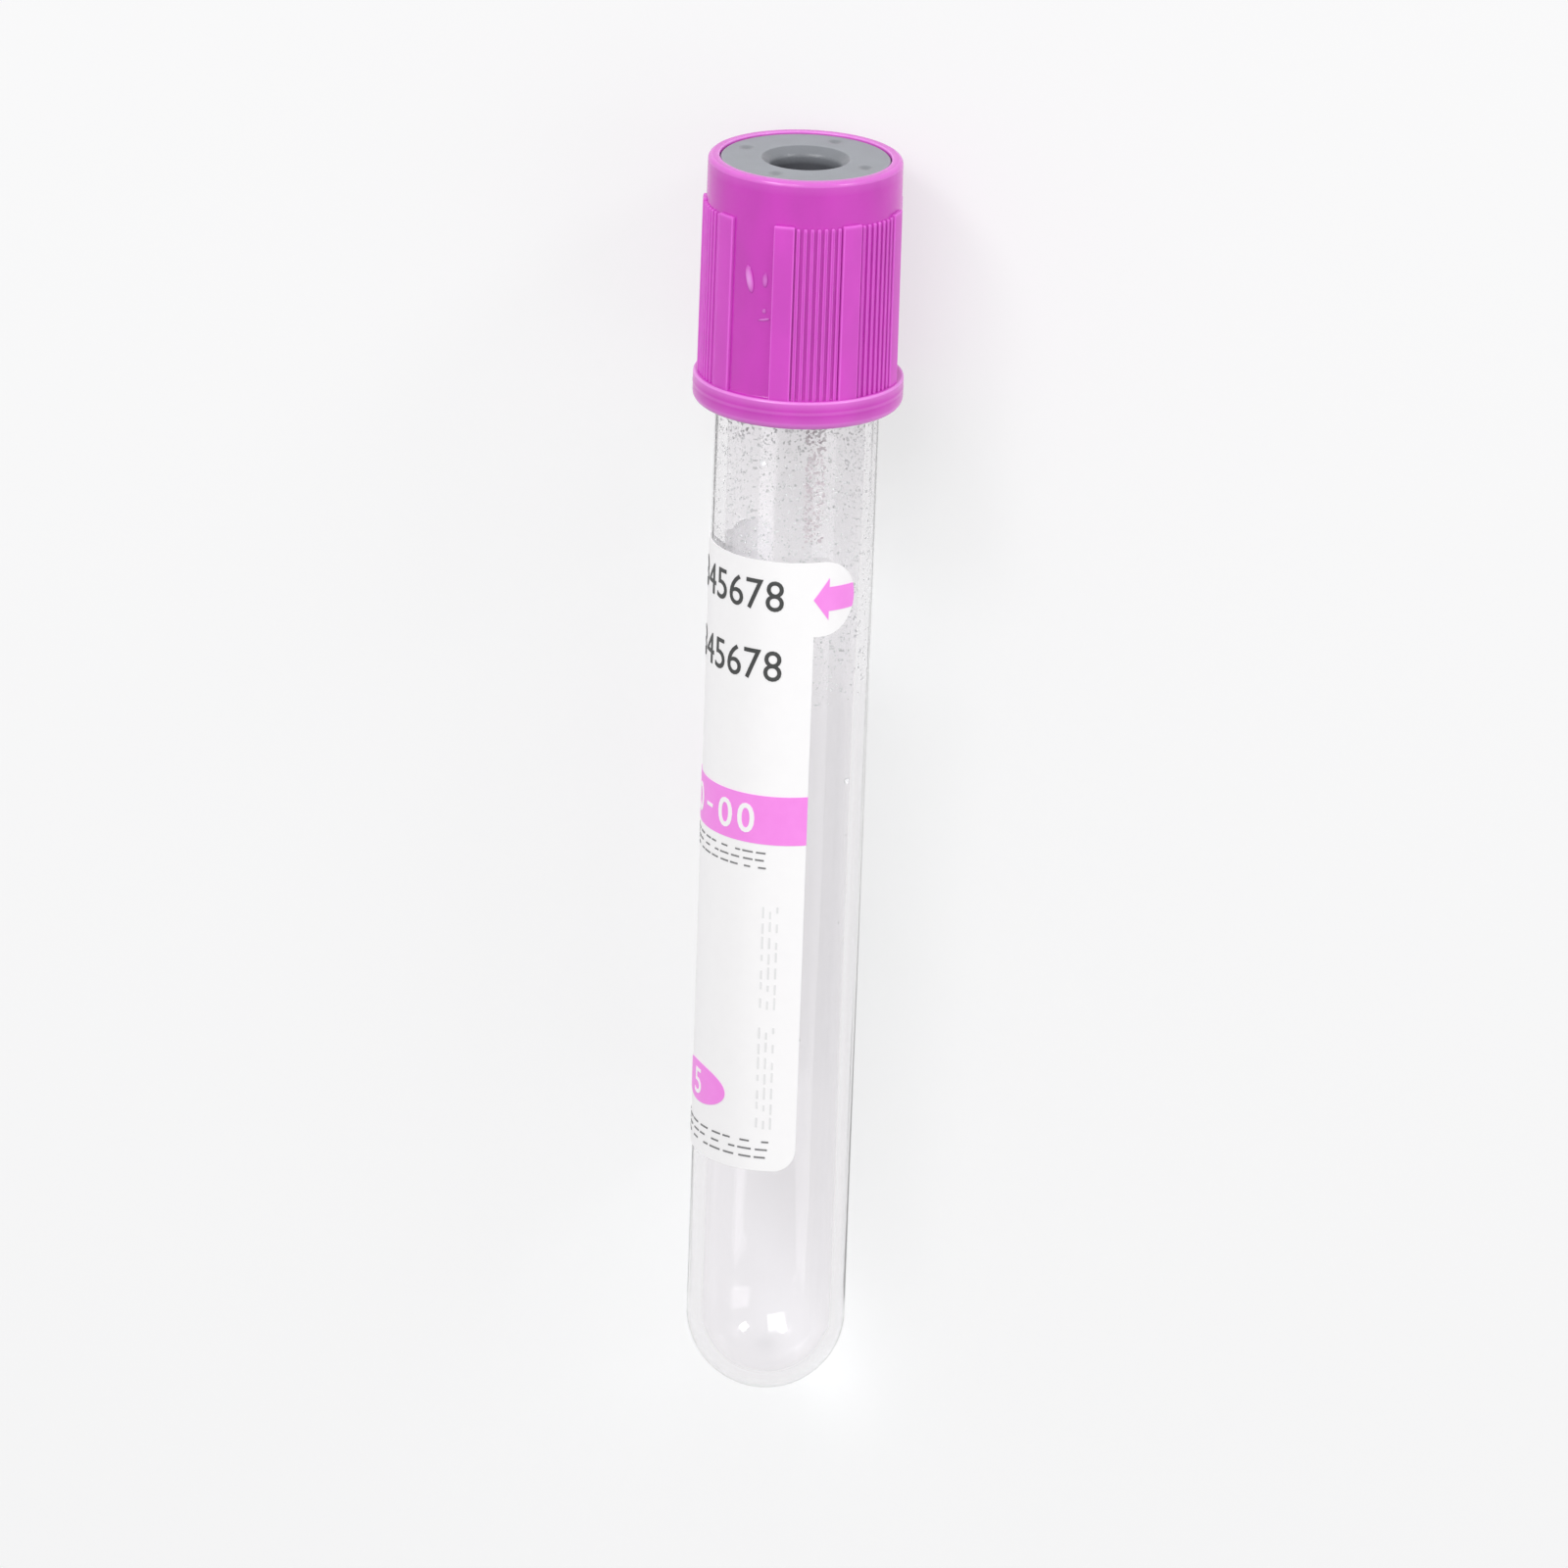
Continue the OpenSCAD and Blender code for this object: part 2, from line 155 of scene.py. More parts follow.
def place(obj, body, material, replaced=None, sharp=35):
    """Lays an upright piece down and gives it its body, its finish and the solid it stands for."""
    obj.data.transform(lay_down)
    obj.data.shade_smooth()
    obj.data.set_sharp_from_angle(angle=math.radians(sharp))
    obj.data.materials.clear()
    obj.data.materials.append(material)
    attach(obj, body)
    if replaced:
        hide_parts(replaced)
    print(obj.name, "faces:", len(obj.data.polygons), "open edges:", open_edges(obj.data))
    return obj


# %% [markdown]
# ## One way to wire nodes
# Node trees are easier to read when making a node, setting it and filling its inputs is one call.
# The same call serves geometry trees and materials. A named input of a tree is a socket of its
# interface.

# %% Helpers for node trees
def add(tree, kind, inputs=None, **settings):
    """A node with its settings made and its inputs filled by values or by other nodes' outputs."""
    made = tree.nodes.new(kind)
    for name, value in settings.items():
        setattr(made, name, value)
    for key, value in (inputs or {}).items():
        if isinstance(value, bpy.types.NodeSocket):
            tree.links.new(value, made.inputs[key])
        else:
            made.inputs[key].default_value = value
    return made


def math_of(tree, operation, a, b=0.0, c=0.0):
    """The output of a Math node."""
    return add(tree, "ShaderNodeMath", {0: a, 1: b, 2: c}, operation=operation).outputs[0]


def level_of(tree, value, start=0.2, end=0.8, low=0.0, high=1.0, eased=True):
    """From low to high as a value goes from start to end. Noise hardly leaves 0.2 to 0.8."""
    return add(tree, "ShaderNodeMapRange", {
        "Value": value, "From Min": start, "From Max": end, "To Min": low, "To Max": high},
        interpolation_type="SMOOTHSTEP" if eased else "LINEAR").outputs[0]


def noise(tree, vector, scale, detail):
    """A smooth random pattern."""
    return add(tree, "ShaderNodeTexNoise",
               {"Vector": vector, "Scale": scale, "Detail": detail}).outputs[0]


def mixed_color(tree, factor, a, b):
    """A colour on the way from a to b."""
    return add(tree, "ShaderNodeMix", {"Factor": factor, 6: a, 7: b}, data_type="RGBA").outputs[2]


def node_group(name, kind, inputs, outputs):
    """A new tree with named inputs and outputs, and the sockets of its two ends."""
    tree = bpy.data.node_groups.new(name, kind)
    for in_out, sockets in (("INPUT", inputs), ("OUTPUT", outputs)):
        for socket, sort in sockets.items():
            tree.interface.new_socket(socket, in_out=in_out, socket_type="NodeSocket" + sort)
    return tree, tree.nodes.new("NodeGroupInput").outputs, tree.nodes.new("NodeGroupOutput").inputs


def copies(tree, result, points, thing, material, rotation, scale=(1, 1, 1)):
    """Puts a thing on points, makes the copies real and gives them their material."""
    spread = add(tree, "GeometryNodeInstanceOnPoints", {
        "Points": points, "Instance": thing, "Rotation": rotation, "Scale": scale})
    solid = add(tree, "GeometryNodeRealizeInstances", {"Geometry": spread.outputs[0]})
    painted = add(tree, "GeometryNodeSetMaterial",
                  {"Geometry": solid.outputs[0], "Material": material})
    tree.links.new(painted.outputs[0], result[0])


# %% [markdown]
# ## Turned pieces
# The tube, the stopper and the cap come out of moulds that were turned on a lathe, so a half section
# spun round the axis is their true form. Blender can spin with a modifier, but a short function that
# joins rings of points keeps the poles closed and the faces pointing outwards. A section runs with
# the material on its left: outwards along an underside, up an outside, down an inside.

# %% A lathe, and the arcs and straights that its sections need
def arc(centre, radius, start, end, steps):
    """Points along an arc, in degrees, as (radius, height) pairs."""
    turns = np.radians(np.linspace(start, end, steps + 1))
    return [(centre[0] + radius * math.cos(t), centre[1] + radius * math.sin(t)) for t in turns]


def rounded(r, z, rounding, start, end, steps):
    """An arc that rounds the sharp corner at (r, z). Its degrees say on which side that lies."""
    side = math.radians((start + end) / 2)
    centre = (r - math.copysign(rounding, math.cos(side)), z - math.copysign(rounding, math.sin(side)))
    return arc(centre, rounding, start, end, steps)


def straight(a, b, steps=1):
    """Points from a to b, with both ends."""
    return [tuple(np.array(a) + (np.array(b) - np.array(a)) * i / steps) for i in range(steps + 1)]


def at_turn(r, turn, z):
    """The corner at a radius and a height, turned away from the reading side."""
    return r * math.sin(turn), -r * math.cos(turn), z


def between(rings):
    """Faces that join each ring of corner numbers to the next one."""
    faces = []
    for low, high in zip(rings, rings[1:]):
        for j in range(len(low)):
            k = (j + 1) % len(low)
            faces.append(list(dict.fromkeys((low[j], low[k], high[k], high[j]))))
    return faces


def lathe(name, section, segments, loop=False):
    """Spins a half section. A point on the axis becomes one pole; loop joins the end to the start."""
    section = [p for i, p in enumerate(section) if i == 0 or math.dist(p, section[i - 1]) > 1e-5]
    vertices, rings = [], []
    for r, z in section:
        first = len(vertices)
        if r < 1e-6:
            vertices.append((0, 0, z))
            rings.append([first] * segments)
            continue
        vertices += [at_turn(r, 2 * math.pi * j / segments, z) for j in range(segments)]
        rings.append(list(range(first, first + segments)))
    if loop:
        rings.append(rings[0])
    return object_from(name, vertices, between(rings))


# %% [markdown]
# ## The clear tube
# The tube is injection moulded in one piece: round at the foot, with a slight taper inside so that
# it leaves its core, and a rounded rim. It gets its real thickness, because light bends once at the
# outer wall and again at the inner one, and a single skin would look like a solid rod of glass.

# %% The tube
TUBE_WALL = 1.05
BOTTOM_T = 1.25
STRAIGHT_BORE = 1.5                 # straight part of the bore below the plug
BORE_DRAFT = math.radians(0.12)
POLE = 88                           # degrees at which an arc stops and one point closes the pole

bore_r = tube_r - TUBE_WALL
rim_r = TUBE_WALL / 2
land_z = plug_z - STRAIGHT_BORE
end_r = bore_r - (land_z - tube_r) * math.tan(BORE_DRAFT)
end_z = BOTTOM_T + end_r

tube_section = (
    [(0, 0)] + arc((0, tube_r), tube_r, -POLE, 0, 30)
    + straight((tube_r, tube_r), (tube_r, tube_top - rim_r), 50)
    + arc((tube_r - rim_r, tube_top - rim_r), rim_r, 0, 180, 14)
    + straight((bore_r, tube_top - rim_r), (bore_r, land_z), 6)
    + straight((bore_r, land_z), (end_r, end_z), 50)
    + arc((0, end_z), end_r, 0, -POLE, 30) + [(0, BOTTOM_T)]
)
clear_tube = lathe("clear_tube", tube_section, segments=192)
print("bore radius", round(bore_r, 3), "at the mouth and", round(end_r, 3), "at the foot")

# %% [markdown]
# ## The rubber stopper
# One moulded piece of butyl rubber. From the top it shows a flat face with a deep well, countersunk
# to guide a needle in, and four shallow dimples left by the mould's pins. Under the cap's rim a bead
# keeps it in a groove, and three seals on its plug all but fill the bore. The face gets many rings,
# because the dimples are pressed into it afterwards with a soft edge that a boolean cut wouldn't give.

# %% The stopper's section
WELL_R, WELL_DEPTH, WELL_ROUND = 2.8, 3.2, 0.5
CONE_R, CONE_DEG, CONE_ROUND = 3.6, 42, 0.25         # the well's countersunk mouth
WELL_CORNER = 0.35                  # rounding at the well's floor
SEPTUM_T = 3.2                      # rubber that the needle pierces
HOLLOW_R, HOLLOW_TAPER, HOLLOW_ROUND, HOLLOW_BEVEL = 3.5, 0.5, 0.3, 0.1
TOP_RING, FLOOR_RING = 0.2, 0.3     # innermost rings of the hollow's top and the well's floor
HEAD_EDGE = 0.2                     # rounding of the head's outer edge
BEAD_EDGE, BEAD_ROUND = 0.15, 0.3   # rounding of the bead's lower and upper edge
HEAD_LIFT = 0.05                    # the head's underside above the tube's rim
SEAL_PROUD, SEAL_ROUND = 0.2, 0.9
NOSE_H, SEAL_START, SEAL_PITCH, SEAL_COUNT = 1.4, 0.9, 2.3, 3
SAME = 0.01                         # sizes closer than this count as the same

head_z = tube_top + HEAD_LIFT
head_r = reach("stopper", face_z - SAME, face_z)
bead_r = radii["stopper"].max()
bead_heights = points["stopper"][radii["stopper"] > bead_r - SAME, 2]
bead_z, bead_top = bead_heights.min(), bead_heights.max()
plug_r = reach("stopper", plug_z, tube_top - 1)
shank_r = plug_r - SEAL_PROUD
hollow_r = HOLLOW_R - HOLLOW_TAPER      # at its top
well_z = face_z - WELL_DEPTH
cone = math.radians(CONE_DEG)
cone_width = CONE_R - WELL_R - WELL_ROUND + (WELL_ROUND - CONE_ROUND) * math.sin(cone)
wall_top = (face_z - CONE_ROUND * (1 - math.cos(cone)) - cone_width * math.tan(cone)
            - WELL_ROUND * math.cos(cone))
hollow_top = well_z - SEPTUM_T


def seal(z):
    """One rounded seal, from the shank out and back to it."""
    half = math.degrees(math.acos((SEAL_ROUND - SEAL_PROUD) / SEAL_ROUND))
    return arc((plug_r - SEAL_ROUND, z), SEAL_ROUND, -half, half, 10)


stopper_section = (
    [(0, hollow_top)] + straight((TOP_RING, hollow_top), (hollow_r - HOLLOW_ROUND, hollow_top), 3)
    + rounded(hollow_r, hollow_top, HOLLOW_ROUND, 90, 0, 6)
    + [(HOLLOW_R, plug_z + HOLLOW_BEVEL), (HOLLOW_R + HOLLOW_BEVEL, plug_z)]
    + straight((HOLLOW_R + HOLLOW_BEVEL, plug_z), (shank_r - NOSE_H / 2, plug_z), 2)
    + [(shank_r, plug_z + NOSE_H)]
    + [p for i in range(SEAL_COUNT) for p in seal(plug_z + NOSE_H + SEAL_START + i * SEAL_PITCH)]
    + [(shank_r, head_z), (head_r, head_z), (head_r, bead_z)]
    + rounded(bead_r, bead_z, BEAD_EDGE, -90, 0, 4)
    + rounded(bead_r, bead_top, BEAD_ROUND, 0, 90, 5) + [(head_r, bead_top)]
    + rounded(head_r, face_z, HEAD_EDGE, 0, 90, 6)
    + straight((head_r - HEAD_EDGE, face_z), (CONE_R, face_z), 30)
    + arc((CONE_R, face_z - CONE_ROUND), CONE_ROUND, 90, 90 + CONE_DEG, 6)
    + arc((WELL_R + WELL_ROUND, wall_top), WELL_ROUND, 90 + CONE_DEG, 180, 10)
    + straight((WELL_R, wall_top), (WELL_R, well_z + WELL_CORNER), 8)
    + rounded(WELL_R, well_z, WELL_CORNER, 0, -90, 6)
    + straight((WELL_R - WELL_CORNER, well_z), (FLOOR_RING, well_z), 4) + [(0, well_z)]
)
rubber_stopper = lathe("rubber_stopper", stopper_section, segments=288)
print("stopper from", round(plug_z, 2), "to", round(face_z, 2), "mm, head radius", round(head_r, 3))

# %% [markdown]
# ## Dimples pressed into the face
# A mould's pin leaves a shallow round dent with a soft edge. Each corner of the face within a dent's
# radius is lowered by a smooth bump function, so no new faces are needed. The same loop writes an
# attribute of painted shade: how deep a corner lies in a dimple or in the well, where little light
# comes. The rubber's finish reads it.

# %% The dimples
DIMPLE_R, DIMPLE_DEPTH, DIMPLE_REACH = 0.7, 0.14, 5.2
DIMPLE_COUNT, DIMPLE_TURN = 4, math.radians(-26)

# Painted shade: how dark the dimples, the countersunk mouth and the deep well are painted.
DIMPLE_SHADE, CONE_SHADE = 0.45, 0.42    # how dark a dimple and the countersunk mouth are
CONE_EDGE = 0.06                         # depth within which the mouth grows that dark
SHADE_FROM, SHADE_TO = 0.8, 1.3          # depths in the well between which it grows darkest


def press_dimples(obj):
    """Presses the dimples into the face and writes the painted shade of dimples and well as an attribute."""
    hollow = []
    for vertex in obj.data.vertices:
        in_well = vertex.co.z > well_z - SAME and vertex.co.xy.length < CONE_R
        depth = face_z - vertex.co.z if in_well else 0.0
        level = min(1.0, max(0.0, (depth - SHADE_FROM) / (SHADE_TO - SHADE_FROM)))
        level = max(level, CONE_SHADE * min(1.0, depth / CONE_EDGE))
        for i in range(DIMPLE_COUNT if vertex.co.z > face_z - SAME else 0):
            turn = DIMPLE_TURN + 2 * math.pi * i / DIMPLE_COUNT
            centre = Vector(at_turn(DIMPLE_REACH, turn, 0)).xy
            away = (vertex.co.xy - centre).length / DIMPLE_R
            if away < 1:
                vertex.co.z -= DIMPLE_DEPTH * (1 - away ** 2) ** 2
                level = DIMPLE_SHADE * (1 - away ** 4)
        hollow.append(level)
    return write_levels(obj, "hollow", hollow)


# %% [markdown]
# ## The cap's shell
# The cap is one moulding of magenta polyethylene. Its outside has a flange at the foot, a wall with
# a little draft, and a rounded rim; a fine line half way up the flange shows where the two halves of
# the mould met. Inside, a ledge and a groove hold the stopper's bead. It is turned as one closed
# loop. The grip bars are separate shapes sunk into its wall, and look moulded on because they have
# its colour, only painted paler as painted light, and a rougher finish.

# %% The cap's section
SKIRT_GAP, SKIRT_WALL, FLANGE_PROUD = 0.45, 0.8, 0.6
CAP_DRAFT = math.tan(math.radians(0.3))
RIM_ROUND, MOUTH_EDGE = 0.4, 0.12
FLANGE_H, FLANGE_ROUND, FLANGE_EDGE = 2.35, 0.65, 0.2
FLAT_DEPTH = 0.1                    # a flat underneath keeps the lying tube from rolling
PARTING_RISE, PARTING_PROUD = 1.4, 0.015
PARTING_FOOT, PARTING_CREST = 0.2, 0.05     # half the line's height at its foot and its crest
WALL_FILLET = 0.15
LEAD_IN = 0.45                      # funnel that leads the tube in
LEDGE_LIFT = 0.3
SEAT_GAP, GROOVE_BEVEL = 0.05, 0.15

flange_top = cap_z + FLANGE_H
skirt_bore = tube_r + SKIRT_GAP
skirt_r = skirt_bore + SKIRT_WALL
flange_r = skirt_r + FLANGE_PROUD
mouth_r = head_r + SEAT_GAP
groove_r = bead_r + SEAT_GAP
ledge_z = head_z + LEDGE_LIFT


def wall_at(z):
    """Radius of the cap's wall at a height."""
    return skirt_r - (z - flange_top) * CAP_DRAFT


cap_r = wall_at(cap_top)
parting_z = cap_z + PARTING_RISE
face_r = flange_r - PARTING_PROUD
cap_section = (
    straight((skirt_bore + LEAD_IN, cap_z), (flange_r - FLANGE_ROUND, cap_z), 2)
    + rounded(face_r, cap_z, FLANGE_ROUND, -90, 0, 8)
    + [(face_r, parting_z - PARTING_FOOT), (flange_r, parting_z - PARTING_CREST),
       (flange_r, parting_z + PARTING_CREST), (face_r, parting_z + PARTING_FOOT)]
    + rounded(face_r, flange_top, FLANGE_EDGE, 0, 90, 5)
    + rounded(skirt_r, flange_top, WALL_FILLET, -90, -180, 5)
    + straight((skirt_r, flange_top + WALL_FILLET), (cap_r, cap_top - RIM_ROUND), 24)
    + rounded(cap_r, cap_top, RIM_ROUND, 0, 90, 10)
    + rounded(mouth_r, cap_top, MOUTH_EDGE, 90, 180, 5)
    + straight((mouth_r, cap_top - MOUTH_EDGE), (mouth_r, bead_top + SEAT_GAP + GROOVE_BEVEL), 4)
    + [(groove_r, bead_top + SEAT_GAP), (groove_r, bead_z), (mouth_r, bead_z), (mouth_r, ledge_z),
       (skirt_bore, ledge_z)]
    + straight((skirt_bore, ledge_z), (skirt_bore, cap_z + 2 * LEAD_IN), 12)
)
cap_shell = lathe("cap_shell", cap_section, segments=256, loop=True)
downwards = Vector((math.sin(REST_TURN), math.cos(REST_TURN), 0))
for vertex in cap_shell.data.vertices:
    proud = vertex.co.dot(downwards) - (flange_r - FLAT_DEPTH)
    if proud > 0:
        vertex.co -= proud * downwards
print("cap radius", round(cap_r, 3), "at the top, flange radius", round(flange_r, 3))

# %% [markdown]
# ## Grip bars round the cap
# Three panels help the fingers pull: in each, smooth pads stand with a group of fine ribs between
# every two. A pad and a rib are the same thing at two widths, a bar that follows the wall, so one
# function draws a bar at the front and rounds its edges. Copying bars round the cap is a rule, and
# Geometry Nodes does it: the tree counts its points, works out each one's turn from its number, and
# puts an instance there. Rule and bar stay apart, and another cap would only change the inputs.

# %% One bar at the front of the cap
PAD_PROUD, PAD_DEG, PAD_ROUND = 0.28, 12, 0.1
RIB_W, RIB_DROP, RIB_ROUND = 0.27, 0.08, 0.1
RIB_SHORT = 0.15                    # how far a rib ends below the pads' tops
PANEL_H, BAR_END = 14.1, 0.3        # a panel's height, and its topmost row of faces
SUNK = 0.35                         # how deep a bar is sunk into the wall
SHARP = math.radians(40)            # a bar's outer edges that turn by more get rounded
panel_top = flange_top + PANEL_H


def bar(name, deg, proud, rounding, steps, top):
    """A bar deg wide that stands proud of the wall, from inside the flange up to its top."""
    turns = np.radians(np.linspace(-deg / 2, deg / 2, steps + 1))
    vertices, rings = [], []
    for z in (cap_z + FLANGE_H / 2, *np.linspace(flange_top, top - BAR_END, 6), top):
        first = len(vertices)
        vertices += [at_turn(wall_at(z) + proud, t, z) for t in turns]
        vertices += [at_turn(wall_at(z) - SUNK, t, z) for t in reversed(turns)]
        rings.append(list(range(first, len(vertices))))
    obj = object_from(name, vertices, [rings[0][::-1], rings[-1]] + between(rings))
    bm = bmesh.new()
    bm.from_mesh(obj.data)
    bmesh.ops.recalc_face_normals(bm, faces=bm.faces)
    edges = [e for e in bm.edges if e.calc_face_angle() > SHARP
             and any(math.hypot(v.co.x, v.co.y) > wall_at(v.co.z) for v in e.verts)]
    bmesh.ops.bevel(bm, geom=edges, offset=rounding, segments=4, profile=0.5, affect="EDGES")
    bm.to_mesh(obj.data)
    bm.free()
    return obj


# %% A tree that repeats a bar round the axis
def ring_tree():
    """Instances of the object's own mesh, in panels of groups of bars."""
    tree, given, result = node_group("Bars round an axis", "GeometryNodeTree", {
        "Bar": "Geometry", "Panels": "Int", "Groups": "Int", "Bars": "Int", "Group Step": "Float",
        "Bar Step": "Float", "First Turn": "Float", "Material": "Material"}, {"Bars": "Geometry"})
    per_panel = math_of(tree, "MULTIPLY", given["Groups"], given["Bars"])
    index = add(tree, "GeometryNodeInputIndex").outputs[0]
    panel = math_of(tree, "FLOOR", math_of(tree, "DIVIDE", index, per_panel))
    group = math_of(tree, "FLOOR", math_of(tree, "DIVIDE", index, given["Bars"]))
    group_in_panel = math_of(tree, "MODULO", group, given["Groups"])
    bar_in_group = math_of(tree, "MODULO", index, given["Bars"])
    panel_step = math_of(tree, "DIVIDE", 2 * math.pi, given["Panels"])
    turn = math_of(tree, "MULTIPLY_ADD", panel, panel_step, given["First Turn"])
    turn = math_of(tree, "MULTIPLY_ADD", group_in_panel, given["Group Step"], turn)
    turn = math_of(tree, "MULTIPLY_ADD", bar_in_group, given["Bar Step"], turn)
    spots = add(tree, "GeometryNodePoints",
                {"Count": math_of(tree, "MULTIPLY", given["Panels"], per_panel)})
    copies(tree, result, spots.outputs[0], given["Bar"], given["Material"],
           rotation=add(tree, "ShaderNodeCombineXYZ", {"Z": turn}).outputs[0])
    return tree


def grown(obj, tree, **values):
    """Runs a tree on an object and keeps the result as a plain mesh."""
    modifier = obj.modifiers.new(tree.name, "NODES")
    modifier.node_group = tree
    inputs = {item.name.lower().replace(" ", "_"): item.identifier
              for item in tree.interface.items_tree
              if item.item_type == "SOCKET" and item.in_out == "INPUT"}
    for name, value in values.items():
        modifier[inputs[name]] = value      # an unknown name stops the script here
    mesh = evaluated_mesh(obj)
    obj.modifiers.clear()
    obj.data = mesh
    mesh.name = obj.name
    return obj


# %% [markdown]
# ## Label and print
# The label is one sheet of white paper, stuck round half of the tube, with a pull tab at its top
# right. A flat outline is drawn first, with s running from the left edge to the right, and is then
# rolled on: a distance along the sheet becomes a turn round the tube. Rolling needs many narrow
# columns, or the sheet would cut into the wall. Paper and ink both get a little thickness, so that
# the edges of the label catch light and no two surfaces share a place.

# %% Rolling a flat sheet onto the tube
LABEL_W, TAB_W, TAB_H, LABEL_ROUND = 20.7, 3.7, 6.2, 1.8
LABEL_TURN = math.radians(17)       # the right-hand edge, from the reading side
INK_GAP, INK_T = 0.01, 0.03

left_turn = LABEL_TURN - LABEL_W / label_out
ink_r = label_out + INK_GAP


def roll_on(name, flat, faces, inner, outer):
    """A closed sheet between two radii, from flat corners (s, z) and counter-clockwise faces."""
    vertices = [at_turn(r, left_turn + s / label_out, z) for r in (outer, inner) for s, z in flat]
    n = len(flat)
    sides = {}
    for face in faces:
        for a, b in zip(face, face[1:] + face[:1]):
            sides[a, b] = sides.get((a, b), 0) + 1
    rims = [(a, b) for a, b in sides if (b, a) not in sides]
    walls = [[b, a, a + n, b + n] for a, b in rims]
    backs = [[i + n for i in reversed(face)] for face in faces]
    return object_from(name, vertices, [list(f) for f in faces] + backs + walls)


# %% The label
def label_columns():
    """Each column's place along the sheet with its low end, the tab's underside, and its high end."""
    joint = label_top - TAB_H
    columns = []
    for t in np.linspace(0, math.pi / 2, 9):
        inset = LABEL_ROUND * (1 - math.sin(t))
        columns.append((LABEL_ROUND * (1 - math.cos(t)), label_z + inset, joint, label_top - inset))
    for s in np.linspace(LABEL_ROUND, LABEL_W - LABEL_ROUND, 56)[1:]:
        columns.append((s, label_z, joint, label_top))
    for t in np.linspace(0, math.pi / 2, 9)[1:]:
        inset = LABEL_ROUND * (1 - math.cos(t))
        columns.append((LABEL_W - LABEL_ROUND * (1 - math.sin(t)), label_z + inset, joint, label_top))
    tab_r = TAB_H / 2
    round_from = LABEL_W + TAB_W - tab_r
    columns += [(s, None, joint, label_top) for s in np.linspace(LABEL_W, round_from, 4)[1:]]
    for t in np.linspace(0, math.pi / 2, 15)[1:]:
        half = tab_r * math.cos(t)
        middle = label_top - tab_r
        columns.append((round_from + tab_r * math.sin(t), None, middle - half, middle + half))
    return columns


def label_mesh(low_rows=24, high_rows=8):
    """The label's flat corners and faces."""
    columns = label_columns()
    flat, number = [], {}
    for i, (s, low, joint, high) in enumerate(columns):
        heights = list(np.linspace(joint, high, high_rows + 1))
        heights = (list(np.linspace(low, joint, low_rows, endpoint=False)) if low is not None
                   else [None] * low_rows) + heights
        for k, z in enumerate(heights):
            if z is None:
                continue
            if i == len(columns) - 1 and k > low_rows:
                number[i, k] = number[i, low_rows]
                continue
            number[i, k] = len(flat)
            flat.append((s, z))
    faces = []
    for i in range(len(columns) - 1):
        for k in range(low_rows + high_rows):
            corners = [(i, k), (i + 1, k), (i + 1, k + 1), (i, k + 1)]
            if all(c in number for c in corners):
                faces.append(list(dict.fromkeys(number[c] for c in corners)))
    return flat, faces


label_flat, label_faces = label_mesh()
wrapped_label = roll_on("wrapped_label", label_flat, label_faces, label_r, label_out)
print("label", LABEL_W, "mm wide, from a turn of", round(math.degrees(left_turn), 1), "degrees")

# %% [markdown]
# ## Ink
# Each printed shape is a flat outline or a plain number from Blender's own font. Shapes of one kind
# and colour go into one sheet of ink. Before it is rolled on, it is cut into narrow strips, because
# a font's shapes have long straight edges that would otherwise cut across the curve.

# %% Printing one colour
STRIP = 0.3                         # width of a strip of ink before it is rolled on


def oblong(s, z, width, height, corner=0.0, steps=8):
    """Outline of a field centred at (s, z), with rounded corners if asked."""
    corner = max(corner, 1e-4)
    outline = []
    for sx, sy, start in ((1, -1, -90), (1, 1, 0), (-1, 1, 90), (-1, -1, 180)):
        centre = (s + sx * (width / 2 - corner), z + sy * (height / 2 - corner))
        outline += arc(centre, corner, start, start + 90, steps if corner > 0.01 else 1)
    return outline


def number_outlines(text, s, z, height, squeeze=1.0, weight=0.0):
    """A plain number as triangles, centred at (s, z), its digits this high."""
    curve = bpy.data.curves.new("number", "FONT")
    curve.body = text
    curve.align_x, curve.align_y = "CENTER", "CENTER"
    curve.offset = weight
    curve.resolution_u = 4
    obj = object_with("number", curve)
    mesh = evaluated_mesh(obj)
    bpy.data.objects.remove(obj)
    bpy.data.curves.remove(curve)
    corners = np.array([v.co[:2] for v in mesh.vertices])
    middle = (corners.max(0) + corners.min(0)) / 2
    size = height / (corners.max(0) - corners.min(0))[1]
    corners = (corners - middle) * (size * squeeze, size) + (s, z)
    outlines = [[tuple(corners[i]) for i in face.vertices] for face in mesh.polygons]
    bpy.data.meshes.remove(mesh)
    return outlines


def printed(name, outlines, ink, replaced=None, lift=0.0):
    """One sheet of ink in the given outlines, rolled on over the label and placed."""
    bm = bmesh.new()
    for outline in outlines:
        bm.faces.new([bm.verts.new((s, z, 0)) for s, z in outline])
    bmesh.ops.remove_doubles(bm, verts=bm.verts, dist=1e-4)
    bmesh.ops.triangulate(bm, faces=bm.faces)
    low = min(v.co.x for v in bm.verts)
    high = max(v.co.x for v in bm.verts)
    for s in np.arange(low + STRIP, high, STRIP):
        everything = bm.verts[:] + bm.edges[:] + bm.faces[:]
        bmesh.ops.bisect_plane(bm, geom=everything, plane_co=(s, 0, 0), plane_no=(1, 0, 0))
    for face in bm.faces:
        if face.normal.z < 0:
            face.normal_flip()
    bm.verts.index_update()
    flat = [tuple(v.co.xy) for v in bm.verts]
    faces = [[v.index for v in face.verts] for face in bm.faces]
    bm.free()
    sheet = roll_on(name, flat, faces, ink_r + lift, ink_r + lift + INK_T)
    return place(sheet, "tube_body", ink, replaced)
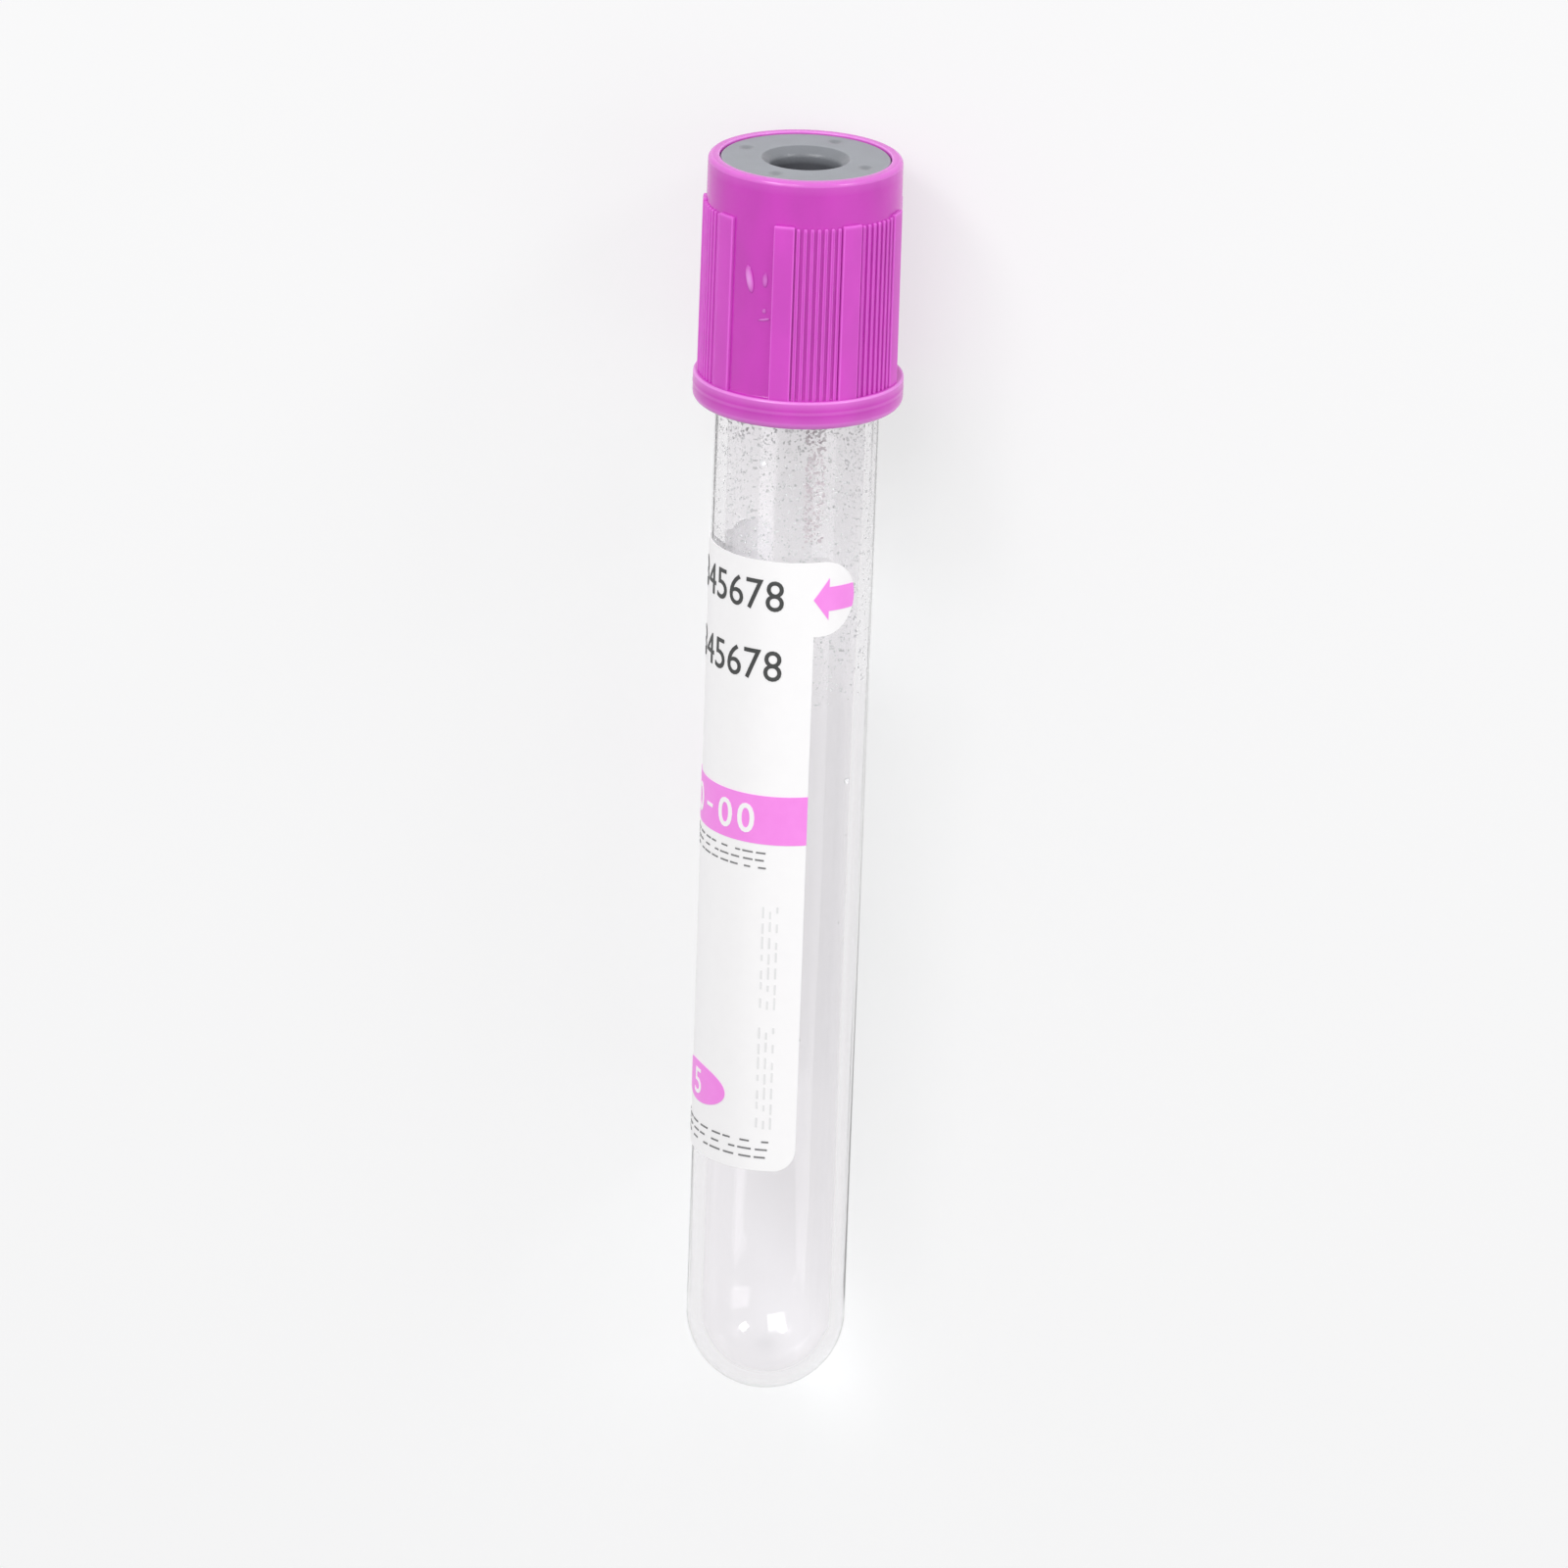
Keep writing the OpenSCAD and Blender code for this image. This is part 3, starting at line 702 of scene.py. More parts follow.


# %% [markdown]
# ## Effects that several finishes share
# Two effects come back in more than one material. Moulded and rolled surfaces are never quite even:
# they have a fine grain and a slow, faint mottling. And an edge is painted lighter than the surface
# beside it: partly wear, where it is thin and rubbed, and partly a painted highlight, where it turns
# to the light. Each effect is a node group, built once, and each material sets its own sizes and
# strengths on it.

# %% A fine grain with a slow mottling
def surface_unevenness():
    """Group: a bump height and a slow variation, from patterns in object coordinates."""
    tree, given, result = node_group("Surface unevenness", "ShaderNodeTree", {
        "Vector": "Vector", "Grain Scale": "Float", "Mottling Scale": "Float",
        "Mottling Height": "Float"}, {"Height": "Float", "Variation": "Float"})
    grain = noise(tree, given["Vector"], given["Grain Scale"], detail=3.0)
    mottling = noise(tree, given["Vector"], given["Mottling Scale"], detail=2.0)
    height = math_of(tree, "MULTIPLY_ADD", mottling, given["Mottling Height"], grain)
    tree.links.new(height, result["Height"])
    tree.links.new(mottling, result["Variation"])
    return tree


# %% Lighter edges, a painted highlight
def edge_light():
    """Group: a colour, varied slowly and lightened where the attribute named edge is high, a painted highlight."""
    tree, given, result = node_group("Painted edge highlight", "ShaderNodeTree", {
        "Color": "Color", "Edge Color": "Color", "Variation": "Float", "Depth": "Float",
        "Strength": "Float"}, {"Color": "Color"})
    level = level_of(tree, given["Variation"], low=-1.0)
    shade = math_of(tree, "MULTIPLY_ADD", level, given["Depth"], 1.0)
    varied = add(tree, "ShaderNodeVectorMath", {0: given["Color"], "Scale": shade},
                 operation="SCALE").outputs[0]
    # painted highlight: the colour goes towards the highlight colour where the attribute edge is high
    edge = add(tree, "ShaderNodeAttribute", attribute_name="edge").outputs["Fac"]
    amount = math_of(tree, "MULTIPLY", edge, given["Strength"])
    tree.links.new(mixed_color(tree, amount, varied, given["Edge Color"]), result["Color"])
    return tree


unevenness, edges = surface_unevenness(), edge_light()
print("shared effects:", unevenness.name, "and", edges.name)

# %% [markdown]
# ## Finishes
# Every finish starts from one Principled shader, with its even values on the shader's own sockets
# and only what changes over the surface coming from nodes. Patterns use upright coordinates: a
# Mapping node undoes the lying pose, so that a streak can run along the tube.

# %% Helpers for finishes
def finish(name, **values):
    """A new material with one Principled shader, and even values on its sockets."""
    made = bpy.data.materials.new(name)
    made.use_nodes = True
    shader = made.node_tree.nodes["Principled BSDF"]
    for key, value in values.items():
        shader.inputs[key.replace("_", " ").title().replace("Ior", "IOR")].default_value = value
    return made, made.node_tree, shader


def upright_vector(tree, stretch=(1, 1, 1)):
    """Object coordinates stood upright in millimetres, then stretched."""
    source = add(tree, "ShaderNodeTexCoord").outputs["Object"]
    location, turn, _ = stand_up.decompose()
    stood = add(tree, "ShaderNodeMapping", {
        "Vector": source, "Location": location, "Rotation": turn.to_euler(),
        "Scale": (1 / MM,) * 3}, vector_type="POINT")
    return add(tree, "ShaderNodeVectorMath", {0: stood.outputs[0], 1: stretch},
               operation="MULTIPLY").outputs[0]


def uneven_on(tree, grain, mottling, height, stretch=(1, 1, 1)):
    """The shared unevenness at these sizes: its outputs Height and Variation."""
    return add(tree, "ShaderNodeGroup", {
        "Vector": upright_vector(tree, stretch), "Grain Scale": grain,
        "Mottling Scale": mottling, "Mottling Height": height}, node_tree=unevenness).outputs


def edge_lit(tree, uneven, color, edge_color, depth, strength):
    """A colour, varied to this depth, with the shared painted edge highlight at this strength."""
    return add(tree, "ShaderNodeGroup", {
        "Variation": uneven["Variation"], "Color": color, "Edge Color": edge_color,
        "Depth": depth, "Strength": strength}, node_tree=edges).outputs["Color"]


def bump(tree, shader, height, distance):
    """A bump of this many millimetres on the shader."""
    made = add(tree, "ShaderNodeBump", {"Height": height, "Distance": distance * MM})
    tree.links.new(made.outputs[0], shader.inputs["Normal"])


def dress(tree, shader, uneven, color, roughness, relief):
    """Colour, roughness between two values that follows the variation, and a bump."""
    tree.links.new(color, shader.inputs["Base Color"])
    bump(tree, shader, uneven["Height"], relief)
    level = level_of(tree, uneven["Variation"], low=roughness[0], high=roughness[1])
    tree.links.new(level, shader.inputs["Roughness"])
    return level


def blend_in(tree, shader, other, share):
    """Gives this share of the surface to another shader."""
    mixed = add(tree, "ShaderNodeMixShader", {0: share, 1: shader.outputs[0], 2: other.outputs[0]})
    tree.links.new(mixed.outputs[0], tree.nodes["Material Output"].inputs["Surface"])


def let_light_by(tree, shader, share, color):
    """Light on its way to a lamp passes this share of the surface, tinted by the colour."""
    open_way = add(tree, "ShaderNodeBsdfTransparent", {"Color": color})
    shadow = add(tree, "ShaderNodeLightPath").outputs["Is Shadow Ray"]
    blend_in(tree, shader, open_way, math_of(tree, "MULTIPLY", shadow, share))


# %% [markdown]
# ### Clear polyester
# The tube's wall is clear and a little cool. Its surfaces carry faint waves along the tube, from the
# flow of the plastic in the mould, and they make soft bright and dark bands. The waves fade out
# towards the round foot, where they would bend all that shows through it. Light on its way to a
# lamp passes a clear wall almost unchanged, so for shadow rays the glass gives way to plain
# transparency, and the label and the drops inside are lit.

# %% Clear polyester
def clear_polyester():
    # painted reflection: the faint pink in the tint stands for magenta reflected into the wall
    made, tree, shader = finish("clear_polyester", base_color=(0.93, 0.918, 0.93, 1),
                                roughness=0.03, ior=1.57, transmission_weight=1.0)
    wave = noise(tree, upright_vector(tree, (0.55, 0.55, 0.02)), scale=1.0, detail=1.5)
    height = add(tree, "ShaderNodeSeparateXYZ", {"Vector": upright_vector(tree)}).outputs["Z"]
    on_wall = level_of(tree, height, tube_r / 2, 2 * tube_r)
    around_mean = math_of(tree, "SUBTRACT", wave, 0.5)
    bump(tree, shader, math_of(tree, "MULTIPLY", around_mean, on_wall), 0.06)
    let_light_by(tree, shader, 1.0, (0.95, 0.96, 0.962, 1))
    return made


# %% [markdown]
# ### Magenta polyethylene
# The cap is dyed through, satin, and translucent, so that its thin edges glow and light creeps into
# the grooves between the ribs; its edges are also painted lighter, a painted highlight. The mould was
# polished for the wall and left rougher on the grip, so one function makes both finishes: a deep one,
# and a paler one for the pads and ribs, whose paler colour is painted light on what stands out.

# %% Magenta polyethylene
def magenta(name, color, edge_color, glow, roughness):
    made, tree, shader = finish(name, subsurface_weight=0.3,
                                subsurface_radius=(0.9, 0.35, 0.8), subsurface_scale=0.0006,
                                ior=1.49)
    uneven = uneven_on(tree, grain=9.0, mottling=0.35, height=1.2, stretch=(1, 1, 0.5))
    # painted highlight: edges lightened towards the second colour, as strongly as glow says
    lit = edge_lit(tree, uneven, color, edge_color, depth=0.06, strength=glow)
    dress(tree, shader, uneven, lit, (roughness, roughness + 0.06), relief=0.004)
    return made


# %% [markdown]
# ### Grey butyl rubber
# The stopper is dull and slightly mottled, with a fine grain. What lies in a hollow is painted darker,
# a painted shade, and smoother too, because nothing rubs it there. Its edges get a painted highlight.

# %% Grey rubber
def grey_butyl():
    made, tree, shader = finish("grey_butyl", ior=1.5, specular_ior_level=0.4)
    uneven = uneven_on(tree, grain=6.0, mottling=0.5, height=0.8)
    # painted highlight on the stopper's edges
    lit = edge_lit(tree, uneven, (0.285, 0.3, 0.325, 1), (0.38, 0.4, 0.425, 1), depth=0.07,
                   strength=0.6)
    # painted shade: hollows go towards this dark grey
    hollow = add(tree, "ShaderNodeAttribute", attribute_name="hollow").outputs["Fac"]
    shaded = mixed_color(tree, hollow, lit, (0.095, 0.098, 0.11, 1))
    dull = dress(tree, shader, uneven, shaded, (0.42, 0.52), relief=0.02)
    smooth = math_of(tree, "MULTIPLY_ADD", hollow, -0.55, dull)
    tree.links.new(math_of(tree, "MAXIMUM", smooth, 0.29), shader.inputs["Roughness"])
    return made


# %% [markdown]
# ### Label paper and inks
# The label is a coated paper: white, slightly glossy, with a very fine tooth. Ink lies thinly on it
# and lets a little of the paper's unevenness through, so one function makes all the inks, each with
# its own colour. Paper is so thin that a quarter of the light gets by its two faces together, which
# keeps the back of the label bright inside the clear tube.

# %% Paper and ink
def coated(name, color, paler, roughness):
    made, tree, shader = finish(name, ior=1.45)
    uneven = uneven_on(tree, grain=14.0, mottling=0.8, height=0.1)
    mottled = mixed_color(tree, level_of(tree, uneven["Variation"]), color, paler)
    dress(tree, shader, uneven, mottled, (roughness, roughness + 0.1), relief=0.003)
    let_light_by(tree, shader, 0.5, (1, 1, 1, 1))
    return made


# %% [markdown]
# ### Dried additive
# A spray of anticoagulant dried on the wall leaves small colourless beads with a milky skin. They
# show as a fine sparkle in the clear wall. Where a run of it dried thicker it is duller and greyer.

# %% Dried additive
def dried_spray(name, duller, brighter):
    made, tree, shader = finish(name, ior=1.46, transmission_weight=0.35)
    uneven = uneven_on(tree, grain=8.0, mottling=1.5, height=1.0)
    level = level_of(tree, uneven["Variation"], 0.3, 0.7, eased=False)
    milky = mixed_color(tree, level, duller, brighter)
    dress(tree, shader, uneven, milky, (0.08, 0.25), relief=0.01)
    return made


polyester, butyl = clear_polyester(), grey_butyl()
# The second colour of each is a painted edge highlight. The satin is painted paler than the wall as painted light;
# its rougher finish is real.
polyethylene = magenta("magenta_polyethylene", (0.57, 0.027, 0.48, 1), (0.84, 0.31, 0.81, 1),
                       glow=0.75, roughness=0.2)
satin = magenta("magenta_satin", (0.63, 0.062, 0.545, 1), (0.86, 0.2, 0.8, 1), glow=0.5,
                roughness=0.38)
paper = coated("label_paper", (0.962, 0.952, 0.96, 1), (0.975, 0.966, 0.973, 1), 0.38)
pink_ink = coated("pink_ink", (0.94, 0.265, 0.83, 1), (0.965, 0.29, 0.86, 1), 0.4)
dark_ink = coated("dark_ink", (0.04, 0.042, 0.042, 1), (0.06, 0.062, 0.062, 1), 0.45)
grey_ink = coated("grey_ink", (0.17, 0.17, 0.175, 1), (0.23, 0.23, 0.235, 1), 0.45)
pale_ink = coated("pale_ink", (0.8, 0.8, 0.805, 1), (0.84, 0.84, 0.845, 1), 0.45)
spray = dried_spray("dried_spray", (0.8, 0.82, 0.83, 1), (0.97, 0.97, 0.97, 1))
dried_run = dried_spray("dried_run", (0.6, 0.52, 0.56, 1), (0.84, 0.78, 0.81, 1))
print("finishes:", ", ".join(m.name for m in bpy.data.materials))

# %% [markdown]
# ## Where edges are
# The painted edge highlight needs to know where a moulded piece turns outwards. Each corner gets the
# largest outward angle along its edges, as a level between 0 and 1, in an attribute named edge. It
# comes from the mesh itself, so the painted highlight stays the same from every side and in any light.

# %% Marking the edges
def mark_edges(obj, full=0.3):
    """Writes the attribute edge for the painted highlight: 1 where an edge turns outwards by full radians or more.
    """
    bm = bmesh.new()
    bm.from_mesh(obj.data)
    levels = []
    for vertex in bm.verts:
        angles = [e.calc_face_angle_signed(0.0) for e in vertex.link_edges]
        levels.append(min(1.0, max(0.0, max(angles, default=0.0) / full)))
    bm.free()
    return write_levels(obj, "edge", levels)


# %% The turned pieces are placed
# mark_edges gives each piece its painted edge highlight, press_dimples the stopper's painted shade
place(clear_tube, "tube_body", polyester, "tube")
place(press_dimples(mark_edges(rubber_stopper)), "closure", butyl, "stopper")
place(mark_edges(cap_shell), "closure", polyethylene, "cap")

# %% [markdown]
# ## The grip panels are grown
# Pads, ribs and guide ribs use one tree with other inputs. A panel's left edge lies half a gap to
# the right of the gap's middle. Inside the skirt, six small guide ribs centre the cap on the tube.

# %% Pads and ribs
PANEL_COUNT, GROUP_COUNT, RIB_COUNT = 3, 2, 7
RIB_PITCH, RIB_MARGIN = math.radians(4.05), 0.5
GAP_TURN = math.radians(-30.4)

ring = ring_tree()
pad_width = math.radians(PAD_DEG)
pad_step = pad_width + (RIB_COUNT - 1 + 2 * RIB_MARGIN) * RIB_PITCH
panel_width = GROUP_COUNT * pad_step + pad_width
left_edge = GAP_TURN + math.pi / PANEL_COUNT - panel_width / 2

pad = bar("cap_pads", PAD_DEG, PAD_PROUD, PAD_ROUND, steps=12, top=panel_top)
cap_pads = grown(pad, ring, panels=PANEL_COUNT, groups=GROUP_COUNT + 1, bars=1,
                 group_step=pad_step, bar_step=0.0, first_turn=left_edge + pad_width / 2,
                 material=satin)
rib = bar("cap_ribs", math.degrees(RIB_W / cap_r), PAD_PROUD - RIB_DROP, RIB_ROUND, steps=3,
          top=panel_top - RIB_SHORT)
cap_ribs = grown(rib, ring, panels=PANEL_COUNT, groups=GROUP_COUNT, bars=RIB_COUNT,
                 group_step=pad_step, bar_step=RIB_PITCH,
                 first_turn=left_edge + pad_width + RIB_MARGIN * RIB_PITCH, material=satin)
for piece in (cap_pads, cap_ribs):
    place(mark_edges(piece), "closure", satin, "cap")

# %% Guide ribs inside the skirt
GUIDE_COUNT, GUIDE_GAP, GUIDE_R, GUIDE_LIFT = 6, 0.1, 0.45, 2
GUIDE_SUNK = 0.3                    # how deep a guide rib ends in the ledge

guide_foot, guide_top = cap_z + GUIDE_LIFT, ledge_z + GUIDE_SUNK
rod = lathe("cap_guides", [(0, guide_foot)] + arc((0, guide_foot + GUIDE_R), GUIDE_R, -80, 0, 6)
            + [(GUIDE_R, guide_top), (0, guide_top)], 16)
rod.data.transform(Matrix.Translation((0, -(tube_r + GUIDE_GAP + GUIDE_R), 0)))
cap_guides = grown(rod, ring, panels=GUIDE_COUNT, groups=1, bars=1, group_step=0.0, bar_step=0.0,
                   first_turn=0.0, material=polyethylene)
place(mark_edges(cap_guides), "closure", polyethylene, "cap")

# %% [markdown]
# ## Marks of the moulding
# In the gap between two panels the plastic entered the mould. The gate left a raised drop, a fainter
# one beside it, and a dot and a small ripple below. Each is a shallow lens laid on the wall. Its
# attribute edge is highest in the middle, so that the raised plastic gets a painted highlight there.

# %% Gate marks
GATE_DROP, GATE_ASIDE = 8.2, 1.2    # the gate below the cap's top, and its marks beside it
GATE_LEAN = -0.2                    # radians
LENS_SUNK = 0.6                     # depth of a lens in the wall, as a share of how it stands out


def lens(turn, z, width, height, proud, glow, lean=0.0):
    """A shallow lens on the cap's wall, leaning by an angle, its middle painted this bright as a highlight."""
    section = [(0, -LENS_SUNK), (1, -LENS_SUNK), (1, 0)] + arc((0, 0), 1, 12, 84, 6) + [(0, 1)]
    obj = lathe("mark", section, 24)
    # painted highlight: brightest at the lens's crown
    write_levels(obj, "edge", [glow * max(0.0, v.co.z) ** 2 for v in obj.data.vertices])
    shape = (Matrix.Rotation(turn, 4, "Z") @ Matrix.Translation((0, -wall_at(z), z))
             @ Matrix.Rotation(lean, 4, "Y") @ Matrix.Diagonal((width / 2, proud, height / 2, 1))
             @ Matrix.Rotation(math.pi / 2, 4, "X"))
    obj.data.transform(shape)
    return obj


def joined(name, objects):
    """Several meshes made one piece."""
    bm = bmesh.new()
    for obj in objects:
        bm.from_mesh(obj.data)
        bpy.data.objects.remove(obj)
    mesh = bpy.data.meshes.new(name)
    bm.to_mesh(mesh)
    bm.free()
    return object_with(name, mesh)


gate_z = cap_top - GATE_DROP
beside = GAP_TURN + GATE_ASIDE / skirt_r
# glow sets how bright each mark's painted highlight is
marks = [
    lens(GAP_TURN - 0.02, gate_z, width=0.7, height=2.3, proud=0.16, glow=1.3, lean=GATE_LEAN),
    lens(beside, gate_z + 0.1, width=0.5, height=1.2, proud=0.07, glow=0.7),
    lens(beside, gate_z - 2.4, width=0.4, height=0.4, proud=0.05, glow=0.6),
    lens(beside, gate_z - 3.1, width=1.1, height=0.22, proud=0.06, glow=0.8, lean=GATE_LEAN),
]
cap_marks = joined("cap_moulding_marks", marks)
place(cap_marks, "closure", polyethylene, "cap")

# %% [markdown]
# ## Drops of dried additive
# The spray lands on the upper bore in many fine drops, with a few large ones further down, and a
# run of it dried thickest in one streak below the cap. Nobody would place thousands of drops by
# hand. A tree scatters them: seeded random numbers give each drop its height, turn and size, and
# each is turned to bulge towards the axis. Small sizes are made commoner by raising a random number
# to a power.

# %% A tree that scatters drops on the bore
DROP_ACROSS, DROP_PROUD = (0.75, 1.15), (0.8, 1.3)     # how uneven drops are, as shares of a size


def spray_tree():
    """Drops on a slightly tapered round wall, bulging inwards."""
    tree, given, result = node_group("Drops on a bore", "GeometryNodeTree", {
        "Drop": "Geometry", "Count": "Int", "Bottom": "Float", "Top": "Float",
        "Top Radius": "Float", "Taper": "Float", "Smallest": "Float", "Largest": "Float",
        "Skew": "Float", "Rise": "Float", "Fray": "Float", "First Turn": "Float",
        "Last Turn": "Float", "Seed": "Int", "Material": "Material"}, {"Drops": "Geometry"})

    def chance(low, high, step):
        """A random number for each drop. The step sets one draw apart from the others."""
        seed = math_of(tree, "ADD", given["Seed"], step)
        return add(tree, "FunctionNodeRandomValue", {2: low, 3: high, "Seed": seed},
                   data_type="FLOAT").outputs[1]

    span = math_of(tree, "SUBTRACT", given["Top"], given["Bottom"])
    below = math_of(tree, "POWER", chance(0.0, 1.0, 1), given["Rise"])
    drop = math_of(tree, "ADD", math_of(tree, "MULTIPLY", below, span), chance(0.0, given["Fray"], 7))
    height = math_of(tree, "SUBTRACT", given["Top"], drop)
    turn = chance(given["First Turn"], given["Last Turn"], 2)
    radius = math_of(tree, "SUBTRACT", given["Top Radius"],
                     math_of(tree, "MULTIPLY", drop, given["Taper"]))
    place_at = add(tree, "ShaderNodeCombineXYZ", {
        "X": math_of(tree, "MULTIPLY", radius, math_of(tree, "SINE", turn)),
        "Y": math_of(tree, "MULTIPLY", radius,
                     math_of(tree, "MULTIPLY", math_of(tree, "COSINE", turn), -1.0)), "Z": height})
    inwards = add(tree, "ShaderNodeVectorMath", {0: place_at.outputs[0], 1: (-1, -1, 0)},
                  operation="MULTIPLY")
    facing = add(tree, "FunctionNodeAlignRotationToVector", {"Vector": inwards.outputs[0]},
                 axis="Z")
    share = math_of(tree, "POWER", chance(0.0, 1.0, 3), given["Skew"])
    spread = math_of(tree, "SUBTRACT", given["Largest"], given["Smallest"])
    size = math_of(tree, "MULTIPLY_ADD", share, spread, given["Smallest"])
    scale = add(tree, "ShaderNodeCombineXYZ", {
        "X": math_of(tree, "MULTIPLY", size, chance(*DROP_ACROSS, 4)),
        "Y": math_of(tree, "MULTIPLY", size, chance(*DROP_ACROSS, 5)),
        "Z": math_of(tree, "MULTIPLY", size, chance(*DROP_PROUD, 6))})
    spots = add(tree, "GeometryNodePoints", {"Count": given["Count"],
                                             "Position": place_at.outputs[0]})
    copies(tree, result, spots.outputs[0], given["Drop"], given["Material"],
           rotation=facing.outputs[0], scale=scale.outputs[0])
    return tree


# %% The fine spray and the larger drops
DROP_LOW, DROP_HIGH = 20.0, 88.0    # heights between which drops dried
SPRAY_LOW = 63.0                    # lower end of the fine spray
STREAK_LOW = 76.5                   # where a run of it dried thickest, below the cap
FRAY = 2.5                          # how far the spray thins out towards the plug
STREAK_TURN, STREAK_HALF = math.radians(16), math.radians(8)
DROP_SUNK = 0.01                    # how deep a drop's foot lies in the wall

scatter = spray_tree()
around = dict(first_turn=-math.pi, last_turn=math.pi)
spray_base = dict(top=DROP_HIGH, fray=FRAY, taper=math.tan(BORE_DRAFT), material=spray,
                  top_radius=bore_r - (land_z - DROP_HIGH) * math.tan(BORE_DRAFT) + DROP_SUNK)
fine_section = [(0, 0), (1, 0), (0.7, 0.4), (0, 0.55)]
dome_section = arc((0, -0.7), 1.22, 35, 90, 6)       # a unit wide and about half as high
fine = grown(lathe("dried_additive", fine_section, 6), scatter, count=4400, smallest=0.05,
             largest=0.13, skew=2.0, rise=1.8, seed=11, bottom=SPRAY_LOW, **around, **spray_base)
large = grown(lathe("additive_drops", dome_section, 16), scatter, count=45, smallest=0.12,
              largest=0.3, skew=2.0, rise=1.5, seed=29, bottom=DROP_LOW, **around, **spray_base)
streak = grown(lathe("additive_streak", fine_section, 6), scatter, count=480, smallest=0.05,
               largest=0.15, skew=2.0, rise=1.3, seed=5, bottom=STREAK_LOW,
               first_turn=STREAK_TURN - STREAK_HALF, last_turn=STREAK_TURN + STREAK_HALF,
               **{**spray_base, "material": dried_run})
for piece, made in ((fine, spray), (large, spray), (streak, dried_run)):
    place(piece, "tube_body", made, "additive")

# %% [markdown]
# ## The label goes on, and the print
# The colour band, the graduation marks at the left edge, the spot near the foot and the arrow on the
# tab are pink. Two rows of plain digits are dark, and the numbers of the marks are grey. Words have
# no place on a part for everybody, so a line of small print is a row of stacked dashes, and the band
# carries plain zeros and one dash. At arm's length they look like print.

# %% The label
place(wrapped_label, "tube_body", paper, "label")

# %% Pink print
BAND_DROP, BAND_H = 19.7, 4.1
MARK_W, MARK_H, MARK_ROUND, MARKS = 2.7, 1.3, 0.08, (2, 3, 4, 5)
SPOT_W, SPOT_H, SPOT_RISE, SPOT_INSET = 7.1, 3.4, 6.1, 9.7
ARROW_SHAFT, ARROW_HEAD, ARROW_POINT = 2, 3.5, 1.3
ARROW_INSET, TAB_MARGIN = 0.1, 0.03     # tip before the tab, and paper left beyond the shaft


def fill_z(ml):
    """Height of this many millilitres in the tube, with its round foot filled first."""
    foot = 2 / 3 * math.pi * end_r ** 3
    return end_z + (1000 * ml - foot) / (math.pi * ((bore_r + end_r) / 2) ** 2)


band_z = label_top - BAND_DROP - BAND_H / 2
spot = (LABEL_W - SPOT_INSET, label_z + SPOT_RISE)
arrow_z = label_top - TAB_H / 2
arrow_tip = LABEL_W - ARROW_INSET
arrow_neck = arrow_tip + ARROW_POINT
tab_centre = (LABEL_W + TAB_W - TAB_H / 2, arrow_z)
tail_turn = math.degrees(math.asin(ARROW_SHAFT / TAB_H))
colour_print = [oblong(LABEL_W / 2, band_z, LABEL_W, BAND_H)]
colour_print += [oblong(MARK_W / 2, fill_z(ml), MARK_W, MARK_H, MARK_ROUND) for ml in MARKS]
colour_print += [[(spot[0] + s * SPOT_W / 2, spot[1] + z * SPOT_H / 2)
                  for s, z in arc((0, 0), 1, 0, 355, 71)]]
colour_print += [[(arrow_tip, arrow_z), (arrow_neck, arrow_z - ARROW_HEAD / 2),
                  (arrow_neck, arrow_z - ARROW_SHAFT / 2)]
                 + arc(tab_centre, TAB_H / 2 - TAB_MARGIN, -tail_turn, tail_turn, 6)
                 + [(arrow_neck, arrow_z + ARROW_SHAFT / 2),
                    (arrow_neck, arrow_z + ARROW_HEAD / 2)]]
printed("label_colour", colour_print, pink_ink, replaced="label_print")

# %% Numbers
NUMBER_DROPS, NUMBER_H, NUMBER_PITCH, NUMBER_INSET = (2.85, 8.7), 2.55, 1.72, 3.2
SPOT_NUMBER_H = 2.2
OVERPRINT = INK_T + 0.004           # lift of what is printed over a field of ink
last_digit = LABEL_W - NUMBER_INSET     # middle of a row's last digit

dark_print = [outline for drop in NUMBER_DROPS for i, digit in enumerate("87654321")
              for outline in number_outlines(digit, last_digit - i * NUMBER_PITCH,
                                              label_top - drop, NUMBER_H, squeeze=0.92)]
printed("label_numbers", dark_print, dark_ink)
printed("label_spot_number", number_outlines("5", *spot, SPOT_NUMBER_H), paper,
        lift=OVERPRINT)

# %% Fine print
DASHES = (1.0, 0.6, 0.85, 0.7, 0.9, 0.5, 0.8)        # lengths, as shares of a sign's width
DASH_ENDS = (1, -1, 0)              # where a dash lies in its sign: right, left or middle
LINE_DROP, LINE_LEFT = 25.2, 3.5    # the line of small print below the band
FOOT_LINE_RISE, FOOT_LINE_LEFT = 1.85, 3.7
COLUMN_INSET, COLUMN_LEFT = 2.7, 5.4    # lines that run up, at the right edge and at the left
COLUMN_RISES, LEFT_COLUMN_RISE = (4.2, 14.6), 14
ML_NUMBER_H, ML_NUMBER_INSET, ML_NUMBER_LIFT = 1.15, 0.5, 0.8


def sign(i, s, z, width, height, thin, turned_up=False):
    """Three stacked dashes of uneven length, like print that says nothing."""
    step = (height - thin) / 2
    strokes = []
    for row in range(3):
        long = width * DASHES[(2 * i + 3 * row) % len(DASHES)]
        aside = (width - long) / 2 * DASH_ENDS[(i + row) % 3]
        strokes.append((aside, (row - 1) * step, long, thin))
    return [oblong(s - across, z + along, tall, long) if turned_up
            else oblong(s + along, z + across, long, tall) for along, across, long, tall in strokes]


def print_along(s, z, count, pitch, width, height, thin, turned_up=False):
    """A line of small print along the label, or up it."""
    return [outline for i in range(count)
            for outline in sign(i, s + (0 if turned_up else i * pitch),
                                z + (i * pitch if turned_up else 0), width, height, thin, turned_up)]


